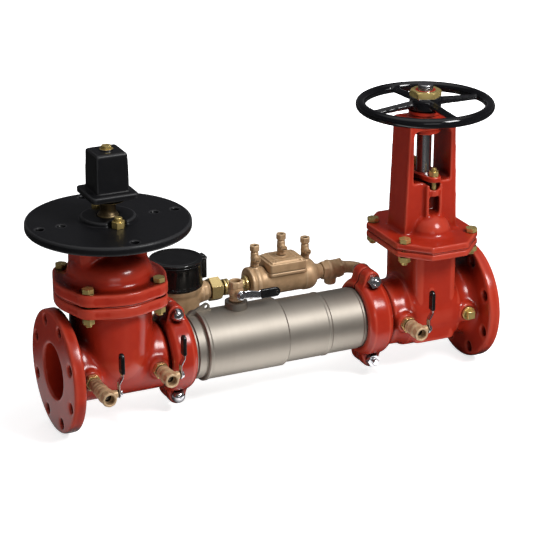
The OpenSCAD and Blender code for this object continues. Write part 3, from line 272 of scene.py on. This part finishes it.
class Finish:
    """One material: its shader, the fields that drive it and the colours it mixes."""

    def __init__(self, name, **constants):
        self.material = bpy.data.materials.new(name)
        self.material.use_nodes = True
        self.tree = self.material.node_tree
        self.shader = next(n for n in self.tree.nodes if n.type == "BSDF_PRINCIPLED")
        for socket, value in constants.items():
            self.shader.inputs[socket.replace("_", " ")].default_value = value

    def node(self, kind, settings=None, values=None, output=0):
        """Adds a node: its settings first, then the values or links of its sockets."""
        made = self.tree.nodes.new(kind)
        for key, value in (settings or {}).items():
            setattr(made, key, value)
        for socket, value in (values or {}).items():
            if isinstance(value, Field):
                self.tree.links.new(value.output, made.inputs[socket])
            else:
                made.inputs[socket].default_value = value
        return Field(self, made.outputs[output])

    def place(self):
        """Where a point of the surface is on the object, in metres."""
        return self.node("ShaderNodeTexCoord", output="Object")

    def stretched(self, scale, centre=(0, 0, 0)):
        return self.node(
            "ShaderNodeMapping",
            {"vector_type": "TEXTURE"},
            {"Vector": self.place(), "Location": centre, "Scale": [1 / s for s in scale]},
        )

    def grain(self, size, detail=2.0, at=None):
        """Random pattern from 0 to 1 whose spots are about size metres across."""
        return self.node(
            "ShaderNodeTexNoise",
            {"noise_dimensions": "3D"},
            {"Vector": at or self.place(), "Scale": 1.0 / size, "Detail": detail},
        )

    def carried(self, name):
        """A value that the mesh carries at its vertices."""
        return self.node("ShaderNodeAttribute", {"attribute_name": name}, output="Fac")

    def openness(self, reach):
        """1 on open faces, down to 0 deep in a gap or hole."""
        return self.node(
            "ShaderNodeAmbientOcclusion", {"samples": 8}, {"Distance": reach}, output="AO"
        )

    def mix(self, mask, low, high):
        """Colour that goes from low to high as the mask goes from 0 to 1."""
        return self.node(
            "ShaderNodeMix",
            {"data_type": "RGBA"},
            {0: mask, 6: low if isinstance(low, Field) else (*low, 1), 7: (*high, 1)},
            output=2,
        )

    def bump(self, height, depth):
        """Relief of the given depth in metres, under the surface's own shading."""
        values = {"Height": height, "Distance": depth, "Strength": 1.0}
        return self.node("ShaderNodeBump", None, values)

    def drive(self, **links):
        for socket, value in links.items():
            self.tree.links.new(value.output, self.shader.inputs[socket.replace("_", " ")])
        return self.material


# %% Floor finish
FLOOR_COLOUR = 0.86
FLOOR_LIFT = 0.72
PLAIN_WHITE_FROM = 0.7
FAR_FLOOR = 0.07
POOL_Y = -135 * mm
POOL_SQUEEZE = (0.3, 1, 1)
POOL_LIFT = 1.25
FLANGE_POOL_AT = (-100 * mm, 100 * mm)
FLANGE_POOL_SHARE = 0.35
sheet = Finish(
    "pale_floor",
    Base_Color=(FLOOR_COLOUR,) * 3 + (1,),
    Roughness=0.9,
    Emission_Strength=1.0,
)
sheet.shader.inputs["Specular IOR Level"].default_value = 0.0
rays = sheet.node("ShaderNodeLightPath", output="Is Camera Ray")
mirrored = sheet.node("ShaderNodeLightPath", output="Is Glossy Ray")
far_out = sheet.node(
    "ShaderNodeVectorMath",
    {"operation": "DISTANCE"},
    {0: sheet.place(), 1: (middle.x, middle.y, cad_box[0].z)},
    output="Value",
)
aside = sheet.node(
    "ShaderNodeVectorMath",
    {"operation": "LENGTH"},
    {0: sheet.stretched(POOL_SQUEEZE, (middle.x, POOL_Y, cad_box[0].z))},
    output="Value",
)
before_flange = sheet.node(
    "ShaderNodeVectorMath",
    {"operation": "DISTANCE"},
    {0: sheet.place(), 1: (*FLANGE_POOL_AT, cad_box[0].z)},
    output="Value",
)
# Painted reflection: for glossy rays the floor glows in a pool in front of the part and another
# before the inlet flange, and turns dark further off
flange_pool = (-before_flange).ramp(-0.30, -0.08) * FLANGE_POOL_SHARE
pool = ((-aside).ramp(-0.14, -0.05) + flange_pool).clamp()
shade = sheet.mix(mirrored * (1.0 - pool), (FLOOR_COLOUR,) * 3, (FAR_FLOOR,) * 3)
seen_glow = rays * (FLOOR_LIFT + far_out.ramp(PLAIN_WHITE_FROM, 3 * PLAIN_WHITE_FROM))
glow = seen_glow + mirrored * pool * POOL_LIFT
sheet.drive(Base_Color=shade, Emission_Color=glow)
floor_mesh.materials.append(sheet.material)

# %% [markdown]
# ## Paint
# The valves and couplings are grey iron castings under thick gloss enamel. The mould leaves a
# slow waviness and fine sand grain, which the paint softens but doesn't hide. Edges are a touch
# lighter, partly where the paint pulls thin and partly as a painted highlight. Fillets are
# darker, and gaps, holes and the neck under the indicator plate get painted shade.


# %% Painted castings
# How far the painted shade in gaps, holes and under overhangs reaches, and the longer reach that
# paints the shadow under the indicator plate
PAINTED_SHADE_REACH = 75 * mm
PLATE_SHADOW_REACH = 170 * mm


def painted_casting(
    name, colour, edge_and_highlight_colour, dark_and_shade_colour, roughness, sand_depth, index=1.4, reach=PAINTED_SHADE_REACH
):
    paint = Finish(name, IOR=index)
    waves = paint.grain(22 * mm, 2.0)
    sand = paint.grain(1.6 * mm, 3.0)
    pits = paint.grain(5 * mm, 4.0)
    relief = paint.carried("relief")
    edges = (-relief).ramp(0.25, 1.0)
    hollows = relief.ramp(0.15, 0.9)
    tone = paint.mix((waves * 0.7 + pits * 0.2 + 0.2).clamp(), dark_and_shade_colour, colour)
    tone = paint.mix(hollows * 0.55, tone, dark_and_shade_colour)
    # Edges lighter: partly paint pulled thin, partly a painted highlight
    tone = paint.mix(edges * 0.5, tone, edge_and_highlight_colour)
    # Painted shade: gaps, holes and the undersides of overhangs are darkened by ambient occlusion
    painted_shade = (1.0 - paint.openness(reach)).ramp(0.3, 0.75)
    tone = paint.mix(painted_shade * 0.95, tone, [0.1 * v for v in dark_and_shade_colour])
    gloss = roughness + (waves - 0.5) * 0.08 + (pits - 0.5) * 0.04
    height = sand * 0.4 + waves * 0.9 + pits * 0.25
    return paint.drive(Base_Color=tone, Roughness=gloss, Normal=paint.bump(height, sand_depth))


red = {
    "colour": (0.43, 0.027, 0.010),
    "edge_and_highlight_colour": (0.56, 0.075, 0.042),
    "dark_and_shade_colour": (0.30, 0.016, 0.007),
    "roughness": 0.20,
    "sand_depth": 0.02 * mm,
}
red_paint = painted_casting("red_enamel", **red)
# Painted shadow: this red darkens over a long reach, so the bonnet's neck under the indicator plate
# looks shaded
red_with_plate_shadow = painted_casting("red_enamel_with_painted_plate_shadow", reach=PLATE_SHADOW_REACH, **red)
black_paint = painted_casting(
    "black_satin_paint",
    colour=(0.009, 0.009, 0.010),
    edge_and_highlight_colour=(0.045, 0.045, 0.047),
    dark_and_shade_colour=(0.005, 0.005, 0.006),
    roughness=0.34,
    sand_depth=0.04 * mm,
    index=1.3,
)
gloss_black = painted_casting(
    "black_gloss_enamel",
    colour=(0.005, 0.005, 0.006),
    edge_and_highlight_colour=(0.010, 0.010, 0.011),
    dark_and_shade_colour=(0.003, 0.003, 0.004),
    roughness=0.10,
    sand_depth=0.004 * mm,
    index=1.5,
)

# %% [markdown]
# ## Metals
# Bronze waterways are left as cast: a warm brown skin with sand grain, rubbed brighter on the
# edges. Brass and yellow-plated fasteners are smooth with a slight rainbow in their tone. The
# levers and coupling bolts are bright zinc.


# %% Bare metals
METAL_PAINTED_SHADE_REACH = 14 * mm


def bare_metal(name, colour, dark, bright, roughness, grain_size, depth, metallic=1.0):
    metal = Finish(name, Metallic=metallic)
    patches = metal.grain(14 * mm, 3.0)
    grain = metal.grain(grain_size, 3.0)
    relief = metal.carried("relief")
    tone = metal.mix(patches.ramp(0.3, 0.7), dark, colour)
    tone = metal.mix(relief.ramp(0.1, 0.8) * 0.7, tone, dark)
    tone = metal.mix((-relief).ramp(0.2, 0.9) * 0.6, tone, bright)
    # Painted shade: bores and the grooves between ribs are darkened by ambient occlusion
    painted_shade = (1.0 - metal.openness(METAL_PAINTED_SHADE_REACH)).ramp(0.25, 0.75)
    tone = metal.mix(painted_shade * 0.85, tone, [0.15 * v for v in dark])
    gloss = roughness + (grain - 0.5) * 0.4 * roughness + (patches - 0.5) * 0.2 * roughness
    return metal.drive(Base_Color=tone, Roughness=gloss, Normal=metal.bump(grain, depth))


bronze = bare_metal(
    "cast_bronze",
    colour=(0.58, 0.38, 0.21),
    dark=(0.47, 0.30, 0.16),
    bright=(0.68, 0.48, 0.29),
    roughness=0.46,
    grain_size=1.1 * mm,
    depth=0.08 * mm,
    metallic=0.30,
)
brass = bare_metal(
    "plated_brass",
    colour=(0.82, 0.56, 0.17),
    dark=(0.66, 0.43, 0.11),
    bright=(0.97, 0.80, 0.42),
    roughness=0.24,
    grain_size=0.8 * mm,
    depth=0.008 * mm,
    metallic=0.75,
)
yellow_plate = bare_metal(
    "yellow_plate",
    colour=(0.66, 0.45, 0.11),
    dark=(0.46, 0.31, 0.07),
    bright=(0.88, 0.70, 0.30),
    roughness=0.24,
    grain_size=0.8 * mm,
    depth=0.004 * mm,
    metallic=0.7,
)
bronze_darkened_as_shade = bare_metal(
    "bronze_darkened_as_shade",
    colour=(0.13, 0.09, 0.04),
    dark=(0.07, 0.045, 0.02),
    bright=(0.26, 0.19, 0.09),
    roughness=0.40,
    grain_size=0.9 * mm,
    depth=0.05 * mm,
    metallic=0.7,
)
zinc = bare_metal(
    "bright_zinc",
    colour=(0.66, 0.66, 0.68),
    dark=(0.48, 0.48, 0.51),
    bright=(0.86, 0.86, 0.88),
    roughness=0.20,
    grain_size=0.9 * mm,
    depth=0.015 * mm,
)
dark_steel = bare_metal(
    "stem_steel",
    colour=(0.46, 0.45, 0.45),
    dark=(0.34, 0.33, 0.33),
    bright=(0.75, 0.75, 0.76),
    roughness=0.24,
    grain_size=0.7 * mm,
    depth=0.003 * mm,
)

# %% [markdown]
# ## Brushed stainless
# The housing was finished with an abrasive belt while it turned, so its scratches run round
# the pipe: the pattern is squeezed along the pipe and long across it.

# %% Brushed stainless steel
steel = Finish("brushed_stainless", Metallic=1.0)
fine = steel.grain(1.0, 3.0, at=steel.stretched((2600, 26, 26)))
broad = steel.grain(1.0, 2.0, at=steel.stretched((90, 4, 4)))
patches = steel.grain(60 * mm, 2.0)
steel_tone = steel.mix(broad * 0.5 + patches * 0.5, (0.33, 0.298, 0.257), (0.38, 0.343, 0.296))
steel_gloss = 0.52 + fine * 0.06 + (patches - 0.5) * 0.06
stainless = steel.drive(
    Base_Color=steel_tone,
    Roughness=steel_gloss,
    Normal=steel.bump(fine * 0.8 + broad * 0.2, 0.006 * mm),
)


# %% [markdown]
# ## Plastics and rubber
# The register cap is glossy moulded plastic, the grips are thick vinyl from a dip tank, and
# the gates and gaskets are moulded rubber.


# %% Plastics and rubber
def moulded(name, colour, light, roughness, grain_size, depth):
    plastic = Finish(name, IOR=1.48)
    grain = plastic.grain(grain_size, 3.0)
    clouds = plastic.grain(18 * mm, 2.0)
    relief = plastic.carried("relief")
    tone = plastic.mix(clouds.ramp(0.35, 0.7), colour, light)
    tone = plastic.mix((-relief).ramp(0.3, 1.0) * 0.4, tone, [3 * v for v in light])
    gloss = roughness + (grain - 0.5) * 0.1 + (clouds - 0.5) * 0.1
    return plastic.drive(Base_Color=tone, Roughness=gloss, Normal=plastic.bump(grain, depth))


register_plastic = moulded(
    "register_plastic", (0.005,) * 3, (0.007,) * 3, 0.13, 1.0 * mm, 0.008 * mm
)
vinyl = moulded("dipped_vinyl", (0.005,) * 3, (0.008,) * 3, 0.24, 1.4 * mm, 0.03 * mm)
rubber = moulded("moulded_rubber", (0.018,) * 3, (0.028,) * 3, 0.62, 0.8 * mm, 0.04 * mm)

finish_of_slot = {
    "cast_red": red_paint,
    "black_paint": black_paint,
    "gloss_black": gloss_black,
    "bronze": bronze,
    "brass": brass,
    "zinc_plate": zinc,
    "stem_steel": dark_steel,
    "stainless": stainless,
    "register_black": register_plastic,
    "black_vinyl": vinyl,
    "gate_rubber": rubber,
    "gasket_rubber": rubber,
}
finish_of = {name: finish_of_slot[slot] for name, slot in slot_of.items()}
# Painted shade: the stuffing nut under the operator's skirt gets a much darker copy of bronze
finish_of["stuffing_nut"] = bronze_darkened_as_shade
# The inlet bonnet wears the red with the painted plate shadow
finish_of["inlet_bonnet"] = red_with_plate_shadow
finish_of["yoke_bushing"] = red_paint
for bolts in (
    "bonnet_bolts",
    "plate_studs",
    "gland_studs",
    "operator_bolt",
    "handwheel_nut",
    "body_plug",
):
    finish_of[bolts] = yellow_plate
for name, node in nodes.items():
    node.data.materials.clear()
    node.data.materials.append(finish_of[name])
print("finishes:", sorted({m.name for m in finish_of_slot.values()}))

# %% [markdown]
# ## Castings
# A casting has no sharp inner corner: the foundry rounds every hollow so that the iron fills
# the mould, and the paint rounds every edge. A voxel skin over the mechanical model is relaxed
# like a soap film. Where it would leave the shape it is held back: it may fill a hollow a long
# way, and may wear an edge only a little.


# %% Relax a skin over a node
LAST_ROUNDS = 4
RELAX_STEP = 0.6
WELD = 1e-6


def relax(mesh, rounds, fill, wear):
    """Smooths a skin: hollows fill by up to fill, edges wear by up to wear. Stores the relief."""
    count = len(mesh.vertices)
    start = np.empty(count * 3)
    normals = np.empty(count * 3)
    ends = np.empty(len(mesh.edges) * 2, np.int32)
    mesh.vertices.foreach_get("co", start)
    mesh.vertices.foreach_get("normal", normals)
    mesh.edges.foreach_get("vertices", ends)
    start, normals = start.reshape(-1, 3), normals.reshape(-1, 3)
    first, second = ends[0::2], ends[1::2]
    neighbours = np.bincount(first, minlength=count) + np.bincount(second, minlength=count)
    now = start.copy()
    for turn in range(rounds + LAST_ROUNDS):
        total = np.stack(
            [
                np.bincount(first, now[second, k], count)
                + np.bincount(second, now[first, k], count)
                for k in range(3)
            ],
            axis=1,
        )
        now += RELAX_STEP * (total / neighbours[:, None] - now)
        if turn < rounds:
            lift = ((now - start) * normals).sum(1)
            now += normals * (np.clip(lift, -wear, fill) - lift)[:, None]
    lift = ((now - start) * normals).sum(1)
    mesh.vertices.foreach_set("co", now.ravel())
    relief = mesh.attributes.new("relief", "FLOAT", "POINT")
    share = np.clip(np.where(lift < 0, lift / wear, lift / fill), -1, 1)
    relief.data.foreach_set("value", share.astype(np.float32))
    mesh.update()


def skin(name, voxel, rounds, fill, wear, additions=None):
    """A relaxed voxel skin that replaces the node of that name."""
    shape = bmesh.new()
    shape.from_mesh(nodes[name].data)
    bmesh.ops.remove_doubles(shape, verts=shape.verts, dist=WELD)
    if additions:
        additions(shape)
    mesh = bpy.data.meshes.new(name + "_skin")
    shape.to_mesh(mesh)
    shape.free()
    piece = bpy.data.objects.new(name + "_skin", mesh)
    scene.collection.objects.link(piece)
    voxels = piece.modifiers.new("voxels", "REMESH")
    voxels.mode, voxels.voxel_size = "VOXEL", voxel
    graph = bpy.context.evaluated_depsgraph_get()
    piece.data = bpy.data.meshes.new_from_object(piece.evaluated_get(graph))
    piece.modifiers.clear()
    relax(piece.data, rounds, fill, wear)
    piece.data.shade_smooth()
    piece.data.materials.clear()
    piece.data.materials.append(finish_of[name])
    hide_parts(name)
    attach(piece, body_of[name])
    print(f"{name}: {len(piece.data.polygons)} faces")
    return piece


# %% Iron castings
for name, voxel in (
    ("inlet_body", 2.25),
    ("outlet_body", 2.25),
    ("inlet_bonnet", 1.75),
    ("outlet_yoke", 1.65),
):
    skin(name, voxel * mm, rounds=24, fill=2.5 * mm, wear=0.5 * mm)
for side in ("inlet_coupling", "outlet_coupling"):
    for half in ("_front", "_rear"):
        skin(side + half, 1.45 * mm, rounds=24, fill=2.0 * mm, wear=0.8 * mm)
skin("gland_follower", 1.0 * mm, rounds=14, fill=1 * mm, wear=0.9 * mm)
skin("indicator_plate", 1.8 * mm, rounds=6, fill=0.5 * mm, wear=0.5 * mm)
skin("operator_nut", 1.3 * mm, rounds=14, fill=0.8 * mm, wear=0.7 * mm)
skin("handwheel", 1.1 * mm, rounds=30, fill=3.0 * mm, wear=1.0 * mm)

# %% [markdown]
# ## Bronze fittings
# The cocks and the bypass pieces are small sand castings, so they get the same skin at a finer
# scale.

# %% Bronze castings
for cock in ("first_cock", "second_cock", "third_cock", "top_cock"):
    skin(cock, 0.8 * mm, rounds=12, fill=1.0 * mm, wear=0.3 * mm)
for pipe in ("bypass_inlet", "bypass_tube", "bypass_fitting", "meter_body", "check_body"):
    skin(pipe, 1.15 * mm, rounds=12, fill=1.2 * mm, wear=0.4 * mm)
skin("check_cover", 0.85 * mm, rounds=8, fill=0.7 * mm, wear=0.35 * mm)
skin("bypass_cocks", 0.8 * mm, rounds=10, fill=0.7 * mm, wear=0.25 * mm)

# %% [markdown]
# ## Turned and pressed pieces
# Bolts, nuts and unions are machined or forged, so they keep flat faces and crisp edges. Each
# sharp edge gets a small bevel, which catches the light as a real edge does.

# %% Bevel the machined edges
SHARP_TURN = math.radians(26)
FLAT_TURN = math.radians(1)
CURVED_FROM = math.radians(0.5)
BEVEL_RELIEF = -0.8


def crisp(name, width, second=None, is_second=None, shape=None):
    """The node's own shape with its sharp edges beveled. Faces that is_second picks wear second."""
    if shape is None:
        shape = bmesh.new()
        shape.from_mesh(nodes[name].data)
    relief = shape.verts.layers.float.new("relief")
    bmesh.ops.remove_doubles(shape, verts=shape.verts, dist=WELD)
    bmesh.ops.dissolve_limit(
        shape, angle_limit=FLAT_TURN, verts=shape.verts, edges=shape.edges
    )
    sharp = [edge for edge in shape.edges if edge.calc_face_angle(0.0) > SHARP_TURN]
    for face in shape.faces:
        turns = [edge.calc_face_angle(0.0) for edge in face.edges]
        face.smooth = any(CURVED_FROM < turn <= SHARP_TURN for turn in turns)
        if second and is_second(face):
            face.material_index = 1
    made = bmesh.ops.bevel(
        shape,
        geom=sharp,
        offset=width,
        offset_type="OFFSET",
        segments=2,
        profile=0.5,
        affect="EDGES",
        clamp_overlap=True,
        material=-1,
    )
    for face in made["faces"]:
        face.smooth = True
    for vert in made["verts"]:
        vert[relief] = BEVEL_RELIEF
    mesh = bpy.data.meshes.new(name + "_crisp")
    shape.to_mesh(mesh)
    shape.free()
    piece = bpy.data.objects.new(name + "_crisp", mesh)
    scene.collection.objects.link(piece)
    mesh.materials.append(finish_of[name])
    if second:
        mesh.materials.append(second)
    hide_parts(name)
    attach(piece, body_of[name])
    print(f"{name}: {len(mesh.polygons)} faces")
    return piece


def top_of(name):
    return max(v.co.z for v in nodes[name].data.vertices)


def thread(name, ends, radius, pitch, finish, rides_on):
    """Screw threads: one ridge for each (x, y, low, high) in ends, wound round a shank."""
    shape = bmesh.new()
    steps = 20
    # The ridge's cross-section: mm out from the shank, and shares of the pitch along it
    corners = ((-0.6, -0.42), (0.35, -0.1), (0.35, 0.1), (-0.6, 0.42))
    for x, y, low, high in ends:
        verts = [shape.verts.new((x + radius + a * mm, y, low + b * pitch)) for a, b in corners]
        edges = [shape.edges.new((verts[k - 1], verts[k])) for k in range(4)]
        turns = (high - low) / pitch
        count = int(steps * turns)
        bmesh.ops.spin(
            shape,
            geom=verts + edges,
            cent=(x, y, 0),
            axis=(0, 0, 1),
            dvec=(0, 0, pitch / steps),
            angle=math.tau * count / steps,
            steps=count,
        )
    bmesh.ops.holes_fill(shape, edges=[e for e in shape.edges if e.is_boundary], sides=4)
    bmesh.ops.recalc_face_normals(shape, faces=shape.faces)
    # Spin adds edges and faces in an order that changes from run to run
    shape.verts.index_update()
    for parts in (shape.edges, shape.faces):
        placed = sorted(parts, key=lambda part: sorted(vert.index for vert in part.verts))
        rank = {part: k for k, part in enumerate(placed)}
        parts.sort(key=rank.get)
    mesh = bpy.data.meshes.new(name)
    shape.to_mesh(mesh)
    shape.free()
    piece = bpy.data.objects.new(name, mesh)
    scene.collection.objects.link(piece)
    mesh.materials.append(finish)
    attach(piece, body_of[rides_on])
    print(f"{name}: {len(ends)} ridges")


def shanks(name):
    """Middle, bottom and top of each separate solid of a node, in the same order each run."""
    shape = bmesh.new()
    shape.from_mesh(nodes[name].data)
    bmesh.ops.remove_doubles(shape, verts=shape.verts, dist=WELD)
    left = set(shape.verts)
    found = []
    while left:
        island, queue = set(), [left.pop()]
        while queue:
            vert = queue.pop()
            island.add(vert)
            for edge in vert.link_edges:
                other = edge.other_vert(vert)
                if other in left:
                    left.discard(other)
                    queue.append(other)
        low = [min(v.co[k] for v in island) for k in range(3)]
        high = [max(v.co[k] for v in island) for k in range(3)]
        found.append(((low[0] + high[0]) / 2, (low[1] + high[1]) / 2, low[2], high[2]))
    shape.free()
    return sorted(found)


# %% Fasteners
for name, width in (
    ("bypass_unions", 0.8),
    ("cock_nipples", 0.6),
    ("gland_studs", 0.6),
    ("plate_studs", 0.6),
    ("bonnet_bolts", 0.6),
    ("coupling_bolts", 0.6),
    ("rising_stem", 0.8),
):
    crisp(name, width * mm)
bolt_seat = top_of("operator_bolt") - 6.2 * mm
crisp("operator_bolt", 0.5 * mm, zinc, lambda face: face.calc_center_median().z < bolt_seat)
nut_seat = top_of("handwheel_nut") - 11.8 * mm
crisp("handwheel_nut", 1.0 * mm, zinc, lambda face: face.calc_center_median().z < nut_seat)
crisp("bonnet_gaskets", 0.3 * mm, red_paint, lambda face: abs(face.normal.z) < 0.5)
skin("stuffing_nut", 1.2 * mm, rounds=8, fill=0.6 * mm, wear=0.4 * mm)

# %% Square-headed plug
PLUG_PROUD = 20 * mm
PLUG_SHANK_RADIUS, PLUG_COLLAR_RADIUS, PLUG_COLLAR = 11.5 * mm, 13 * mm, 6 * mm
PLUG_HEAD_WIDTH, PLUG_HEAD_DEPTH, PLUG_HEAD_MIDDLE = 15 * mm, 11 * mm, 10.5 * mm
plug = [v.co for v in nodes["body_plug"].data.vertices]
plug_x, plug_z = ((min(v[k] for v in plug) + max(v[k] for v in plug)) / 2 for k in (0, 2))
plug_back, plug_face = max(v.y for v in plug), min(v.y for v in plug) + PLUG_PROUD
shape = bmesh.new()
for radius, back, front in (
    (PLUG_SHANK_RADIUS, plug_back, plug_face),
    (PLUG_COLLAR_RADIUS, plug_face, plug_face - PLUG_COLLAR),
):
    turn = Matrix.Rotation(math.pi / 2, 4, "X")
    bmesh.ops.create_cone(
        shape,
        cap_ends=True,
        segments=48,
        radius1=radius,
        radius2=radius,
        depth=back - front,
        matrix=Matrix.Translation((plug_x, (back + front) / 2, plug_z)) @ turn,
    )
head_size = Matrix.Diagonal((PLUG_HEAD_WIDTH, PLUG_HEAD_DEPTH, PLUG_HEAD_WIDTH, 1))
head_place = Matrix.Translation((plug_x, plug_face - PLUG_HEAD_MIDDLE, plug_z))
bmesh.ops.create_cube(shape, size=1, matrix=head_place @ head_size)
crisp("body_plug", 0.9 * mm, shape=shape)

# %% Screw threads on the ends that show
# Node, length of the threaded end, shank radius and pitch in mm, and whether it is the top end
END_CLEARANCE_MM = 0.7
for name, reach, radius, pitch, at_top in (
    ("plate_studs", 6, 6.8, 2.0, True),
    ("gland_studs", 5, 5.0, 1.5, True),
    ("bonnet_bolts", 5, 6.35, 2.0, False),
    ("rising_stem", 9, 14.25, 4.0, True),
):
    ends = []
    for x, y, low, high in shanks(name):
        clear = (0.5 * pitch + END_CLEARANCE_MM) * mm
        span = (high - reach * mm, high - clear) if at_top else (low + clear, low + reach * mm)
        ends.append((x, y, *span))
    thread(name + "_thread", ends, radius * mm, pitch * mm, finish_of[name], name)

# %% Levers, grips and the register
for which in ("first", "second", "third"):
    skin(which + "_lever", 0.75 * mm, rounds=8, fill=0.8 * mm, wear=0.25 * mm)
    skin(which + "_grip", 0.7 * mm, rounds=20, fill=0.5 * mm, wear=1.1 * mm)

grip = [v.co.copy() for v in nodes["top_grip"].data.vertices]
grip_low = Vector([min(v[k] for v in grip) for k in range(3)])
grip_high = Vector([max(v[k] for v in grip) for k in range(3)])
GRIP_WIDTH = 18 * mm
broad = Matrix.Diagonal((1, 1, GRIP_WIDTH / (grip_high.z - grip_low.z), 1))
to_grip = Matrix.Translation(-(grip_low + grip_high) / 2)


def broaden(shape):
    bmesh.ops.transform(shape, matrix=broad, space=to_grip, verts=shape.verts)


skin("top_lever", 0.75 * mm, rounds=8, fill=0.8 * mm, wear=0.25 * mm, additions=broaden)
skin("top_grip", 0.7 * mm, rounds=20, fill=0.5 * mm, wear=1.1 * mm, additions=broaden)
print("top grip:", round(GRIP_WIDTH / mm), "mm wide")
skin("meter_register", 1.15 * mm, rounds=6, fill=0.15 * mm, wear=0.4 * mm)
skin("meter_lid", 1.1 * mm, rounds=6, fill=0.15 * mm, wear=0.4 * mm)
